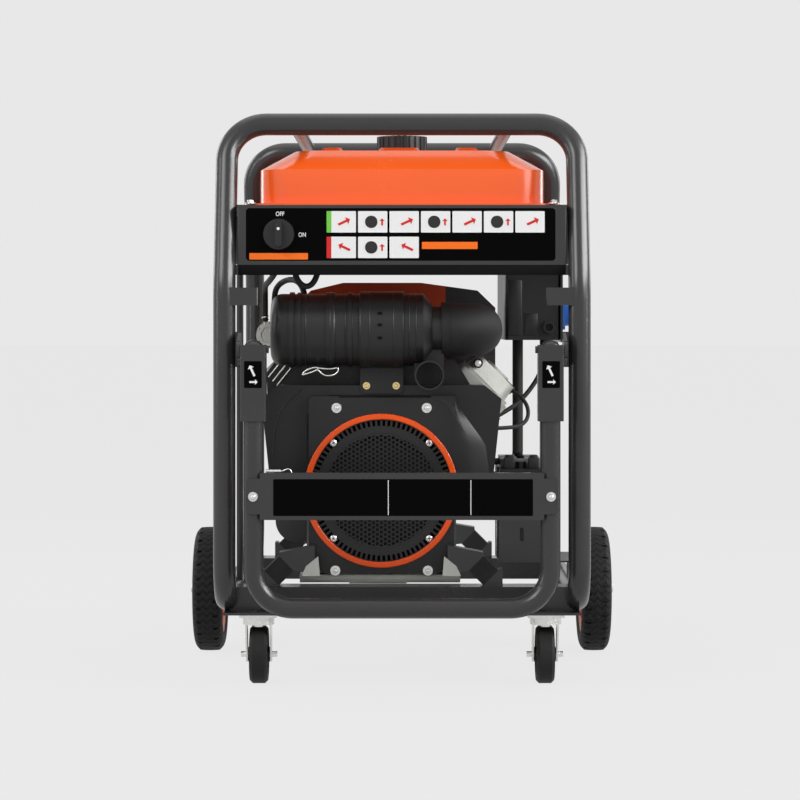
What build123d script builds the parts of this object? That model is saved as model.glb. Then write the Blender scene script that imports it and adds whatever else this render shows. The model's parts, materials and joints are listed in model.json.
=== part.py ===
"""Large open-frame portable generator: V-twin engine, alternator, tank, tow handle and wheels.

Frame: millimetres, +Z up, front (engine end) faces -Y, origin on the floor under the middle of the frame.
"""
import os
from math import cos, radians, sin

from build123d import *

# Frame tubes
tube_d = 38.0
frame_width = 642.0
frame_height = 986.0
front_leg_y = 450.0
rear_leg_y = 493.0
lean_z = 687.0
lean_in = 88.0
hoop_corner_r = 67.0
lean_bend_r = 150.0
foot_bend_r = 75.0
rail_z = 146.0
top_rail_d = 25.0
top_rail_x = 185.0
tank_rail_z = 826.0
tank_rail_size = 40.0
tank_rail_wall = 4.0

# Cross members and mounts
channel_h = 40.0
channel_w = 60.0
channel_wall = 4.0
front_channel_y = -350.0
rear_channel_y = 203.0
mount_side = 36.0
mount_span = 177.0
mount_rise = 27.0

# Wheels and casters
wheel_r = 117.0
tyre_w = 56.0
tyre_wall = 34.0
wheel_y = 90.0
axle_d = 16.0
axle_play = 0.05
wheel_gap = 15.0
caster_r = 50.0
caster_w = 31.0
caster_x = 247.0
caster_y = -390.0
caster_trail = 20.0
caster_fork_w = 45.0
caster_plate_l = 64.0
caster_plate_t = 5.0
fork_t = 3.0
caster_axle_d = 10.0
kingpin_d = 14.0
pad_t = 4.0
weld_lap = 4.0
pad_edge = 6.0
axle_end = 6.0
bracket_t = 6.0
bracket_half = 50.0

# Tow handle
handle_d = 34.0
handle_x = 250.0
handle_y = -492.0
handle_bar_z = 142.0
handle_corner_r = 67.0
pivot_z = 578.0
sleeve_w = 43.0
sleeve_h = 128.0
sleeve_wall = 3.0
pin_d = 12.0
pin_play = 0.05
label_plate_z = 332.0
label_plate_h = 79.0
label_plate_t = 3.0
bumper_w = 37.0
bumper_h = 30.0
bumper_t = 32.0
bumper_z = 668.0
sleeve_over = 8.0
plate_lap = 10.0
plate_r = 4.0
plate_fold = 10.0
tab_reach = 0.7
tab_share = 0.76
hinge_gap = 1.0
hinge_t = 6.0
hinge_foot = 60.0
hinge_eye = 16.0
pin_proud = 4.0

# Tank and fascia
tank_half_x = 246.0
tank_flange_x = 275.0
tank_front_y = -385.0
tank_rear_y = 415.0
tank_h = 97.0
tank_wall = 2.0
flange_t = 3.0
neck_d = 70.0
neck_h = 30.0
neck_wall = 2.0
cap_d = 93.0
cap_h = 30.0
cap_y = -50.0
cap_wall = 4.0
cap_play = 0.4
fascia_half_x = 280.0
fascia_top_z = 824.0
fascia_bottom_z = 722.0
fascia_y = -440.0
fascia_t = 2.0
beam_h = 17.0
beam_t = 24.0
knob_x = -210.0
knob_z = 774.0
knob_d = 54.0
knob_h = 22.0
knob_stem_d = 12.0
shoulder_drop = 35.0
top_inset_x = 58.0
top_inset_y = 42.0
tank_corner_r = 50.0
pan_depth = 36.0
pan_inset = 12.0
bead_h = 6.0
bead_x = (-122.0, -5.0, 113.0)
bead_widths = (38.0, 72.0, 42.0)
bead_r = 12.0
gasket_t = 3.0
gasket_w = 4.0
gasket_gap = 0.3
cap_grips = 24
grip_r = 3.0
cap_edge = 1.0
valve_d = 36.0
valve_len = 26.0
tap_r = 5.0
tap_proud = 4.0
knob_gap = 0.3
knob_draft = 8.0
skirt_share = 0.4
grip_len = 0.86
grip_w = 0.28

# Engine
engine_x = -36.0
crank_z = 331.0
crank_d = 40.0
crank_play = 0.05
case_half_x = 115.0
case_front_y = -270.0
case_rear_y = -20.0
case_bottom_z = 183.0
case_waist = 30.0
case_rise = 20.0
case_fillet = 18.0
bank_angle = 45.0
bank_stagger = 25.0
bank_y = -145.0
cylinder_start = 105.0
cylinder_end = 205.0
cylinder_d = 96.0
fin_side = 124.0
fin_count = 8
fin_t = 3.0
fin_r = 16.0
fin_first = 10.0
fin_proud = 7.0
head_fins = 3
head_len = 52.0
head_side = 116.0
cover_len = 34.0
cover_side = 96.0
cover_lip = 6.0
cover_r = 22.0
cover_draft = 10.0
cover_boss_d = 54.0
cover_boss_h = 5.0

# Blower
blower_front_y = -345.0
blower_step_y = -325.0
blower_wall = 3.0
face_w = 261.0
face_top = 497.0
face_r = 46.0
face_draft = 12.0
foot_half_x = 80.0
foot_rise = 52.0
waist_drop = 60.0
wing_x = 210.0
wing_low_x = 196.0
wing_low_z = 357.0
wing_top_z = 514.0
wing_chamfer = 24.0
wing_bevel = 30.0
guide_top_z = 558.0
guide_left = 145.0
guide_right = 130.0
guide_slope = 30.0
grille_d = 254.0
ring_d = 268.0
ring_w = 10.0
ring_proud = 5.0
grille_t = 4.0
mesh_d = 198.0
slot_in_r = 104.0
slot_out_r = 117.0
slot_count = 48
slot_w = 6.0
mesh_pitch = 15.0
mesh_hole = 11.0
fan_d = 224.0
fan_t = 8.0
blade_h = 24.0
blade_count = 16
blade_t = 4.0
ring_edge = 2.0
shaft_nose = 8.0
fan_off = 14.0
fan_hub_r = 34.0
blade_len = 44.0
blade_edge = 2.0
blade_angle = 24.0

# Alternator
alt_d = 250.0
alt_len = 320.0
alt_wall = 8.0
stator_t = 34.0
rotor_gap = 0.8
stator_len = 170.0
bell_len = 40.0
bell_wall = 8.0
alt_foot_half = 105.0
alt_ribs = 28
alt_rib_h = 10.0
alt_rib_w = 4.0
shaft_room = 4.0
pole_w = 40.0
pole_slot = 26.0
bell_r = 18.0
bell_rim = 14.0
vent_count = 12
vent_ring_r = 72.0
vent_len = 44.0
vent_w = 12.0

# Air cleaner and intake
cleaner_y = -335.0
cleaner_z = 611.0
cleaner_d = 125.0
cleaner_wall = 3.0
cleaner_left_x = -228.0
cleaner_cap_x = -187.0
cleaner_right_x = 83.0
clamp_left_x = -73.0
clamp_right_x = 2.0
clamp_t = 4.0
elbow_r = 46.0
elbow_bend_r = 48.0
elbow_wall = 4.0
snout_x = 47.0
snout_z = 533.0
snout_d = 51.0
snout_bore = 45.0
snout_front_y = -408.0
carb_d = 56.0
cone_len = 46.0
cone_run = 16.0
band_x = (-178.0, -128.0, -90.0)
band_w = 7.0
band_h = 5.0
snout_root = 24.0
cap_crown = 20.0
cap_lip_w = 8.0
cap_lip_h = 3.0
element_room = 14.0
element_t = 18.0
pleats = 30
pleat_d = 5.0
tab_drop = 14.0
tab_r = 8.0
cuff_t = 2.0
cuff_w = 14.0
spigot_len = 10.0
bowl_w = 46.0
bowl_len = 44.0
bowl_h = 60.0
manifold_r = 22.0
manifold_side = 10.0
manifold_play = 1.5

# Engine cover and fuel pump
cover_t = 3.0
cover_left_x = -196.0
cover_right_x = 168.0
cover_top_z = 695.0
cover_eave_z = 650.0
cover_fall = 14.0
cover_slope = 32.0
cover_ridge = 70.0
skirt_z = 520.0
cover_front_y = -185.0
cover_rear_y = -66.0
louvre_count = 5
louvre_pitch = 26.0
louvre_len = 80.0
louvre_w = 9.0
pump_x = -240.0
pump_y = -150.0
pump_z = 601.0
pump_d = 40.0
pump_len = 26.0
pump_rim = 4.0
nipple_x = 8.0
nipple_d = 7.0
nipple_h = 14.0

# Exhaust
muffler_half_x = 130.0
muffler_front_y = 60.0
muffler_rear_y = 270.0
muffler_bottom_z = 486.0
muffler_h = 150.0
muffler_wall = 2.5
pipe_d = 38.0
saddle_inset = 30.0
saddle_w = 90.0
spout_len = 60.0
pipe_wall = 2.0
pipe_bend_r = 45.0
entry_mid = 60.0
entry_half = 20.0

# Starter, engine feet and brackets
starter_d = 78.0
starter_len = 160.0
starter_rear = 190.0
starter_drop = 60.0
starter_lap = 4.0
starter_edge = 8.0
solenoid_d = 48.0
solenoid_len = 100.0
solenoid_rear = 170.0
bracket_plate = 5.0
bracket_rise = 4.0
foot_t = 5.0
foot_lap = 6.0
foot_h = 18.0
arm_t = 8.0
arm_lap = 40.0

# Electrics
battery_x = 172.0
battery_w = 75.0
battery_len = 175.0
battery_h = 160.0
battery_front_y = -318.0
tray_z = 204.0
tray_t = 3.0
box_left_x = 186.0
box_right_x = 285.0
box_front_y = -190.0
box_rear_y = 210.0
box_bottom_z = 592.0
box_wall = 2.0
panel_t = 4.0
socket_d = 62.0
socket_len = 44.0
lid_t = 6.0
post_r = 8.0
post_h = 12.0
post_inset = 25.0
battery_edge = 4.0
upstand_h = 74.0
keyhole_at = 0.66
keyhole_len = 24.0
keyhole_w = 7.0
rod_r = 3.0
rod_proud = 8.0
strap_t = 3.0
strap_w = 20.0
strap_over = 16.0
box_edge = 6.0
socket_z = 648.0
socket_y = (-30.0, 70.0)
socket_edge = 8.0
cup_depth = 26.4
cup_wall = 5.0
bezel_w = 7.0
lid_gap = 0.3
lid_pin_r = 2.0
knuckle_r = 4.0
knuckle_half = 9.5
ear_t = 4.0
key_y = -130.0
key_z = 735.0
key_stem_r = 8.0
breaker_y = -40.0
breaker_z = 735.0
breaker_w = 16.0
breaker_h = 30.0

# Caster and wheel sections
swivel_gap = 0.3
crown_h = 13.0
crown_d = 54.0
kingpin_lip = 4.0
fork_root = 18.0
fork_lap = 4.0
fork_eye = 12.0
fork_tip = 8.0
bolt_proud = 9.0
boss_r = 13.0
boss_proud = 3.0
web_r = 34.0
web_step = 4.0
tread_r = 37.0
tread_edge = 5.0
hub_r = 22.0
web_half = 4.0
well_depth = 18.0
seat_w = 8.0
bead_w = 4.0
rim_holes = 6
rim_hole_d = 22.0
bulge_h = 14.0
shoulder_w = 5.0
shoulder_h = 6.0
crown_fall = 1.0
rib_count = 26
rib_depth = 4.0
rib_w = 5.0
rib_share = 0.3

# Values worked out from the sizes above
tube_r = tube_d / 2
leg_x = frame_width / 2 - tube_r
top_z = frame_height - tube_r
top_y = front_leg_y - lean_in
rear_top_y = rear_leg_y - lean_in
channel_top = rail_z + tube_r + 2.0
axle_z = wheel_r
pad_z = rail_z - tube_r
alt_front_y = case_rear_y
alt_rear_y = alt_front_y + alt_len
manifold_x = engine_x + manifold_side
tank_top_z = tank_rail_z + tank_h
case_shoulder_x = 1.28 * cylinder_start
case_peak_x = 0.12 * cylinder_start
case_peak_z = crank_z + 1.294 * cylinder_start


def front_plane(y):
    """Drawing plane that faces the front at depth y, with X to the right and Z up."""
    return Plane(origin=(0, y, 0), x_dir=(1, 0, 0), z_dir=(0, -1, 0))


def side_plane(x):
    """Drawing plane that faces +X at x, with Y to the right and Z up."""
    return Plane(origin=(x, 0, 0), x_dir=(0, 1, 0), z_dir=(1, 0, 0))


def save(builder, name):
    """Label a finished piece and write its file."""
    builder.part.label = name
    export_step(builder.part, f"parts/{name}.step")


def save_group(builders, name):
    """Write several like pieces as one node of separate solids."""
    solids = [solid for builder in builders for solid in builder.part.solids()]
    export_step(Compound(label=name, children=solids), f"parts/{name}.step")


os.makedirs("parts", exist_ok=True)


# Front and rear hoops, each with its half of the bottom side rails
def hoop_points(leg_y, bar_y):
    """Corner points of one hoop with its legs at leg_y and its top bar at bar_y."""
    side = [
        (-leg_x, 0, rail_z),
        (-leg_x, leg_y, rail_z),
        (-leg_x, leg_y, lean_z),
        (-leg_x, bar_y, top_z),
    ]
    return side + [(-x, y, z) for x, y, z in reversed(side)]


hoop_radii = [foot_bend_r, lean_bend_r, hoop_corner_r, hoop_corner_r, lean_bend_r, foot_bend_r]

with BuildPart() as front_hoop:
    with BuildLine() as front_line:
        FilletPolyline(*hoop_points(-front_leg_y, -top_y), radius=hoop_radii)
    with BuildSketch(Plane(origin=front_line.line @ 0, z_dir=front_line.line % 0)):
        Circle(tube_r)
    sweep()
save(front_hoop, "front_hoop")

with BuildPart() as rear_hoop:
    with BuildLine() as rear_line:
        FilletPolyline(*hoop_points(rear_leg_y, rear_top_y), radius=hoop_radii)
    with BuildSketch(Plane(origin=rear_line.line @ 0, z_dir=rear_line.line % 0)):
        Circle(tube_r)
    sweep()
save(rear_hoop, "rear_hoop")

# Top rails between the hoops' top bars
with BuildPart() as top_rails:
    with BuildSketch(front_plane(rear_top_y)):
        with Locations((-top_rail_x, top_z), (top_rail_x, top_z)):
            Circle(top_rail_d / 2)
    extrude(amount=rear_top_y + top_y)
    add(front_hoop.part, mode=Mode.SUBTRACT)
    add(rear_hoop.part, mode=Mode.SUBTRACT)

# Angle rails that carry the tank, welded to the leaning legs
tank_rail_x = leg_x - tube_r + weld_lap
rail_lean = lean_in * (tank_rail_z - lean_z) / (top_z - lean_z)
tank_rail_front = front_leg_y - rail_lean
tank_rail_rear = rear_leg_y - rail_lean
with BuildPart() as tank_rails:
    for side in (-1, 1):
        with BuildSketch(front_plane(tank_rail_rear)):
            with Locations((side * (tank_rail_x - tank_rail_size / 2), tank_rail_z - tank_rail_wall / 2)):
                Rectangle(tank_rail_size, tank_rail_wall)
            with Locations((side * (tank_rail_x - tank_rail_wall / 2), tank_rail_z - tank_rail_size / 2)):
                Rectangle(tank_rail_wall, tank_rail_size)
        extrude(amount=tank_rail_front + tank_rail_rear)
    add(front_hoop.part, mode=Mode.SUBTRACT)
    add(rear_hoop.part, mode=Mode.SUBTRACT)

# Channels across the bottom rails, open below
with BuildPart() as cross_members:
    for y in (front_channel_y, rear_channel_y):
        with BuildSketch(side_plane(-leg_x)):
            with Locations((y, channel_top - channel_h / 2)):
                Rectangle(channel_w, channel_h)
            with Locations((y, channel_top - channel_h / 2 - channel_wall)):
                Rectangle(channel_w - 2 * channel_wall, channel_h, mode=Mode.SUBTRACT)
        extrude(amount=2 * leg_x)
    add(front_hoop.part, mode=Mode.SUBTRACT)
    add(rear_hoop.part, mode=Mode.SUBTRACT)
save(cross_members, "cross_members")

# Flat pads under the rails for the casters, with a hole for the kingpin nut
pad_out_x = leg_x + weld_lap
pad_in_x = caster_x - caster_plate_l / 2 - pad_edge
with BuildPart() as caster_pads:
    for side in (-1, 1):
        with BuildSketch(Plane.XY.offset(pad_z - pad_t)):
            with Locations((side * (pad_out_x + pad_in_x) / 2, caster_y)):
                Rectangle(pad_out_x - pad_in_x, caster_plate_l + 2 * pad_edge)
            with Locations((side * caster_x, caster_y)):
                Circle(kingpin_d, mode=Mode.SUBTRACT)
        extrude(amount=pad_t)

# Axle with its two hanger brackets welded under the rails
bracket_x = leg_x - weld_lap / 2
hub_inner_x = leg_x + tube_r + wheel_gap
axle_half = hub_inner_x + tyre_w + axle_end
with BuildPart() as rear_axle:
    with BuildSketch(side_plane(-axle_half)):
        with Locations((wheel_y, axle_z)):
            Circle(axle_d / 2)
    extrude(amount=2 * axle_half)
    fillet(rear_axle.edges().filter_by(GeomType.CIRCLE), axle_d / 8)
save(rear_axle, "rear_axle")

with BuildPart() as axle_brackets:
    for side in (-1, 1):
        with BuildSketch(side_plane(side * bracket_x - bracket_t / 2)):
            with BuildLine():
                Polyline((wheel_y - bracket_half, rail_z), (wheel_y + bracket_half, rail_z),
                         (wheel_y + axle_d, axle_z - axle_d),
                         (wheel_y - axle_d, axle_z - axle_d), close=True)
            make_face()
            with Locations((wheel_y, axle_z)):
                Circle(axle_d / 2, mode=Mode.SUBTRACT)
        extrude(amount=bracket_t)
    add(front_hoop.part, mode=Mode.SUBTRACT)
    add(rear_hoop.part, mode=Mode.SUBTRACT)
save_group((caster_pads, axle_brackets), "base_brackets")

# Tow handle: U tube with domed upper ends and pin holes
handle_r = handle_d / 2
handle_points = [
    (-handle_x, handle_y, pivot_z),
    (-handle_x, handle_y, handle_bar_z),
    (handle_x, handle_y, handle_bar_z),
    (handle_x, handle_y, pivot_z),
]
with BuildPart() as handle_tube:
    with BuildLine() as handle_line:
        FilletPolyline(*handle_points, radius=handle_corner_r)
    with BuildSketch(Plane(origin=handle_line.line @ 0, z_dir=handle_line.line % 0)):
        Circle(handle_r)
    sweep()
    with Locations((-handle_x, handle_y, pivot_z), (handle_x, handle_y, pivot_z)):
        Sphere(handle_r)
    with BuildSketch(side_plane(-handle_x - handle_d)):
        with Locations((handle_y, pivot_z)):
            Circle(pin_d / 2 + pin_play)
    extrude(amount=2 * (handle_x + handle_d), mode=Mode.SUBTRACT)
save(handle_tube, "handle_tube")

# Channel sleeves round the handle's upper ends, open to the rear
sleeve_top = pivot_z + sleeve_over
sleeve_front_y = handle_y - handle_r - sleeve_wall
sleeve_depth = handle_d
with BuildPart() as handle_sleeves:
    for side in (-1, 1):
        with BuildSketch(Plane.XY.offset(sleeve_top - sleeve_h)):
            with Locations((side * handle_x, sleeve_front_y + sleeve_depth / 2)):
                Rectangle(sleeve_w, sleeve_depth)
            with Locations((side * handle_x, sleeve_front_y + sleeve_depth / 2 + sleeve_wall)):
                Rectangle(sleeve_w - 2 * sleeve_wall, sleeve_depth, mode=Mode.SUBTRACT)
        extrude(amount=sleeve_h)
    front_edges = handle_sleeves.edges().filter_by(Axis.Z).group_by(Axis.Y)[0]
    fillet(front_edges, sleeve_wall * 0.9)
    with BuildSketch(side_plane(-handle_x - sleeve_w)):
        with Locations((handle_y, pivot_z)):
            Circle(pin_d / 2 + pin_play)
    extrude(amount=2 * (handle_x + sleeve_w), mode=Mode.SUBTRACT)
save(handle_sleeves, "handle_sleeves")

# Plate across the handle with folded edges and narrower end tabs
plate_half = handle_x - sleeve_w / 2 + plate_lap
tab_half = handle_x + handle_r * tab_reach
plate_back_y = handle_y - handle_r
with BuildPart() as handle_plate:
    with BuildSketch(front_plane(plate_back_y)):
        with Locations((0, label_plate_z)):
            RectangleRounded(2 * plate_half, label_plate_h, plate_r)
            RectangleRounded(2 * tab_half, label_plate_h * tab_share, plate_r)
    extrude(amount=label_plate_t)
    with BuildSketch(front_plane(plate_back_y + plate_fold)):
        for end in (-1, 1):
            with Locations((0, label_plate_z + end * (label_plate_h - label_plate_t) / 2)):
                Rectangle(2 * (handle_x - handle_d), label_plate_t)
    extrude(amount=plate_fold)
save(handle_plate, "handle_plate")

# Hinge brackets welded to the front legs, with their pins, and the blocks above them
hinge_in_x = handle_x + sleeve_w / 2 + hinge_gap
with BuildPart() as handle_brackets:
    for side in (-1, 1):
        with BuildSketch(side_plane(side * (hinge_in_x + hinge_t / 2) - hinge_t / 2)):
            with BuildLine():
                Line((-front_leg_y, pivot_z - hinge_foot / 2), (handle_y, pivot_z - hinge_eye))
                ThreePointArc((handle_y, pivot_z - hinge_eye), (handle_y - hinge_eye, pivot_z),
                              (handle_y, pivot_z + hinge_eye))
                Line((handle_y, pivot_z + hinge_eye), (-front_leg_y, pivot_z + hinge_foot / 2))
                Line((-front_leg_y, pivot_z + hinge_foot / 2), (-front_leg_y, pivot_z - hinge_foot / 2))
            make_face()
            with Locations((handle_y, pivot_z)):
                Circle(pin_d / 2, mode=Mode.SUBTRACT)
        extrude(amount=hinge_t)
        foot_x = (hinge_in_x + leg_x) / 2
        with Locations((side * foot_x, -front_leg_y, pivot_z)):
            Box(leg_x - hinge_in_x, hinge_t, hinge_foot)
    add(front_hoop.part, mode=Mode.SUBTRACT)

pin_in_x = handle_x - sleeve_w / 2 - pin_proud
with BuildPart() as hinge_pins:
    for side in (-1, 1):
        with BuildSketch(side_plane(side * (pin_in_x + hinge_in_x + hinge_t) / 2)):
            with Locations((handle_y, pivot_z)):
                Circle(pin_d / 2)
        extrude(amount=(hinge_in_x + hinge_t - pin_in_x) / 2, both=True)

with BuildPart() as stop_blocks:
    for side in (-1, 1):
        with BuildSketch(front_plane(-front_leg_y + bumper_t / 2)):
            with Locations((side * (leg_x - bumper_w / 2 - tube_r / 2), bumper_z)):
                Rectangle(bumper_w + tube_r, bumper_h)
        extrude(amount=bumper_t)
    add(front_hoop.part, mode=Mode.SUBTRACT)
save_group((handle_brackets, hinge_pins, stop_blocks), "handle_brackets")

# Casters: plate with kingpin, swivelling fork with its axle, wheel
plate_z = pad_z - pad_t
crown_top = plate_z - caster_plate_t - swivel_gap
crown_bottom = crown_top - crown_h
kingpin_head_r = kingpin_d / 2 + kingpin_lip
with BuildPart() as caster_plates:
    for side in (-1, 1):
        with BuildSketch(Plane.XY.offset(plate_z - caster_plate_t)):
            with Locations((side * caster_x, caster_y)):
                RectangleRounded(caster_plate_l, caster_plate_l, pad_edge)
        extrude(amount=caster_plate_t)
        with BuildSketch(Plane.XY.offset(crown_bottom - swivel_gap)):
            with Locations((side * caster_x, caster_y)):
                Circle(kingpin_d / 2)
        extrude(amount=plate_z - crown_bottom)
        with BuildSketch(Plane.XY.offset(crown_bottom - swivel_gap)):
            with Locations((side * caster_x, caster_y)):
                Circle(kingpin_head_r)
        extrude(amount=-kingpin_lip)
save(caster_plates, "caster_plates")

for side, name in ((-1, "left"), (1, "right")):
    wheel_x = side * caster_x
    axle_y = caster_y + caster_trail
    with BuildPart() as caster_fork:
        with BuildSketch(Plane.XY.offset(crown_bottom)):
            with Locations((wheel_x, caster_y)):
                Circle(crown_d / 2)
                Circle(kingpin_d / 2 + axle_play, mode=Mode.SUBTRACT)
        extrude(amount=crown_top - crown_bottom)
        for cheek in (-1, 1):
            cheek_x = wheel_x + cheek * (caster_fork_w - fork_t) / 2
            with BuildSketch(side_plane(cheek_x - fork_t / 2)):
                with BuildLine():
                    Polyline((caster_y - fork_root, crown_bottom + fork_lap), (axle_y - fork_eye, caster_r),
                             (axle_y - fork_tip, caster_r - fork_eye),
                             (axle_y + fork_tip, caster_r - fork_eye),
                             (axle_y + fork_eye, caster_r),
                             (caster_y + fork_root, crown_bottom + fork_lap), close=True)
                make_face()
            extrude(amount=fork_t)
        with BuildSketch(side_plane(wheel_x)):
            with Locations((axle_y, caster_r)):
                Circle(caster_axle_d / 2)
        extrude(amount=caster_fork_w / 2 + bolt_proud, both=True)
    save(caster_fork, f"caster_fork_{name}")

    with BuildPart() as caster_wheel:
        with BuildSketch(Plane.XY):
            with BuildLine():
                Polyline((0, caster_axle_d / 2 + axle_play),
                         (caster_w / 2 + 3, caster_axle_d / 2 + axle_play),
                         (caster_w / 2 + boss_proud, boss_r), (caster_w / 2 - web_step, boss_r),
                         (caster_w / 2 - web_step, web_r),
                         (caster_w / 2, tread_r), (caster_w / 2, caster_r - tread_edge),
                         (caster_w / 2 - tread_edge, caster_r),
                         (0, caster_r), close=True)
            make_face()
            mirror(about=Plane.YZ)
        revolve(axis=Axis.X)
    caster_wheel.part.locate(Location((wheel_x, axle_y, caster_r)))
    save(caster_wheel, f"caster_wheel_{name}")

# Rear wheels: spoked rim with hub, and a ribbed tyre
rim_r = wheel_r - tyre_wall
well_r = rim_r - well_depth
for side, name in ((-1, "left"), (1, "right")):
    mid_x = side * (hub_inner_x + tyre_w / 2)
    half = tyre_w / 2
    with BuildPart() as rim:
        with BuildSketch(Plane.XY):
            with BuildLine():
                Polyline((-half, axle_d / 2 + axle_play), (half, axle_d / 2 + axle_play), (half, hub_r),
                         (2 * web_half, hub_r), (web_half, well_r), (half - seat_w, well_r + seat_w),
                         (half - bead_w, rim_r),
                         (bead_w - half, rim_r), (seat_w - half, well_r + seat_w), (-web_half, well_r),
                         (-2 * web_half, hub_r),
                         (-half, hub_r), close=True)
            make_face()
        revolve(axis=Axis.X)
        with BuildSketch(Plane.YZ.offset(-half)):
            with PolarLocations((well_r + hub_r) / 2, rim_holes):
                Circle(rim_hole_d / 2)
        extrude(amount=tyre_w, mode=Mode.SUBTRACT)
    rim.part.locate(Location((mid_x, wheel_y, axle_z)))
    save(rim, f"rim_{name}")

    with BuildPart() as tyre:
        with BuildSketch(Plane.XY):
            with BuildLine():
                Line((bead_w - half, rim_r), (half - bead_w, rim_r))
                ThreePointArc((half - bead_w, rim_r), (half, rim_r + bulge_h),
                              (half - shoulder_w, wheel_r - shoulder_h))
                Line((half - shoulder_w, wheel_r - shoulder_h), (half - 2 * shoulder_w, wheel_r - crown_fall))
                ThreePointArc((half - 2 * shoulder_w, wheel_r - crown_fall), (0, wheel_r),
                              (2 * shoulder_w - half, wheel_r - crown_fall))
                Line((2 * shoulder_w - half, wheel_r - crown_fall), (shoulder_w - half, wheel_r - shoulder_h))
                ThreePointArc((shoulder_w - half, wheel_r - shoulder_h), (-half, rim_r + bulge_h),
                              (bead_w - half, rim_r))
            make_face()
        revolve(axis=Axis.X)
        with BuildSketch(Plane.YZ.offset(-half)):
            with PolarLocations(wheel_r, rib_count):
                Rectangle(2 * rib_depth, rib_w)
        extrude(amount=tyre_w * rib_share, mode=Mode.SUBTRACT)
        with BuildSketch(Plane.YZ.offset(half)):
            with PolarLocations(wheel_r, rib_count, start_angle=180 / rib_count):
                Rectangle(2 * rib_depth, rib_w)
        extrude(amount=-tyre_w * rib_share, mode=Mode.SUBTRACT)
    tyre.part.locate(Location((mid_x, wheel_y, axle_z)))
    save(tyre, f"tyre_{name}")

# Fuel tank: pressed shell with a seam flange, top ribs and a filler neck, hollow inside
tank_len = tank_rear_y - tank_front_y
tank_mid_y = (tank_rear_y + tank_front_y) / 2
shoulder_z = tank_top_z - shoulder_drop
flange_z = tank_rail_z + flange_t

with BuildPart() as tank:
    for skin, mode in ((0.0, Mode.ADD), (tank_wall, Mode.SUBTRACT)):
        wide = 2 * (tank_half_x - skin)
        deep = tank_len - 2 * skin
        with BuildSketch(Plane.XY.offset(flange_z - pan_depth + skin)):
            with Locations((0, tank_mid_y)):
                RectangleRounded(wide - 4 * pan_inset, deep - 4 * pan_inset, tank_corner_r)
        with BuildSketch(Plane.XY.offset(flange_z)):
            with Locations((0, tank_mid_y)):
                RectangleRounded(wide - 2 * pan_inset, deep - 2 * pan_inset, tank_corner_r)
        loft(mode=mode)
        if mode == Mode.ADD:
            with BuildSketch(Plane.XY.offset(tank_rail_z)):
                with Locations((0, tank_mid_y)):
                    RectangleRounded(2 * tank_flange_x, tank_len + 2 * pan_inset, tank_corner_r)
            extrude(amount=flange_t)
        with BuildSketch(Plane.XY.offset(flange_z)):
            with Locations((0, tank_mid_y)):
                RectangleRounded(wide, deep, tank_corner_r - skin)
        extrude(amount=shoulder_z - flange_z, mode=mode)
        with BuildSketch(Plane.XY.offset(shoulder_z)):
            with Locations((0, tank_mid_y)):
                RectangleRounded(wide, deep, tank_corner_r - skin)
        with BuildSketch(Plane.XY.offset(tank_top_z - skin)):
            with Locations((0, tank_mid_y)):
                RectangleRounded(wide - 2 * top_inset_x, deep - 2 * top_inset_y, tank_corner_r - skin)
        loft(mode=mode)
        if mode == Mode.ADD:
            for x, w in zip(bead_x, bead_widths):
                with BuildSketch(Plane.XY.offset(tank_top_z)):
                    with Locations((x, tank_mid_y)):
                        RectangleRounded(w, tank_len - 2 * (top_inset_y + bead_r), bead_r)
                extrude(amount=bead_h, taper=30)
            with BuildSketch(Plane.XY.offset(tank_top_z)):
                with Locations((0, cap_y)):
                    Circle(neck_d / 2 + neck_wall)
            extrude(amount=bead_h + neck_h)
    with BuildSketch(Plane.XY.offset(shoulder_z)):
        with Locations((0, cap_y)):
            Circle(neck_d / 2)
    extrude(amount=tank_top_z - shoulder_z + bead_h + neck_h, mode=Mode.SUBTRACT)
save(tank, "fuel_tank")

# Filler cap with grip ribs, and its gasket
neck_top = tank_top_z + bead_h + neck_h
cap_top = neck_top + gasket_t + 2 * gasket_gap + cap_wall
cap_bottom = cap_top - cap_h
with BuildPart() as cap_gasket:
    with BuildSketch(Plane.XY.offset(neck_top + gasket_gap)):
        with Locations((0, cap_y)):
            Circle(neck_d / 2 + neck_wall)
            Circle(neck_d / 2 - gasket_w, mode=Mode.SUBTRACT)
    extrude(amount=gasket_t)
save(cap_gasket, "fuel_cap_gasket")

with BuildPart() as fuel_cap:
    with BuildSketch(Plane.XY.offset(cap_bottom)):
        with Locations((0, cap_y)):
            Circle(cap_d / 2)
            with PolarLocations(cap_d / 2, cap_grips):
                Circle(grip_r, mode=Mode.SUBTRACT)
    extrude(amount=cap_h)
    fillet(fuel_cap.faces().sort_by(Axis.Z)[-1].edges(), cap_edge)
    with BuildSketch(Plane.XY.offset(cap_bottom)):
        with Locations((0, cap_y)):
            Circle(neck_d / 2 + neck_wall + cap_play)
    extrude(amount=cap_h - cap_wall, mode=Mode.SUBTRACT)
save(fuel_cap, "fuel_cap")

# Front cross beam and the folded fascia sheet above it
with BuildPart() as front_beam:
    with BuildSketch(side_plane(-leg_x)):
        with Locations((fascia_y + fascia_t + beam_t / 2, fascia_bottom_z - beam_h / 2)):
            Rectangle(beam_t, beam_h)
    extrude(amount=2 * leg_x)
    add(front_hoop.part, mode=Mode.SUBTRACT)
save_group((top_rails, tank_rails, front_beam), "frame_rails")

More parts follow.
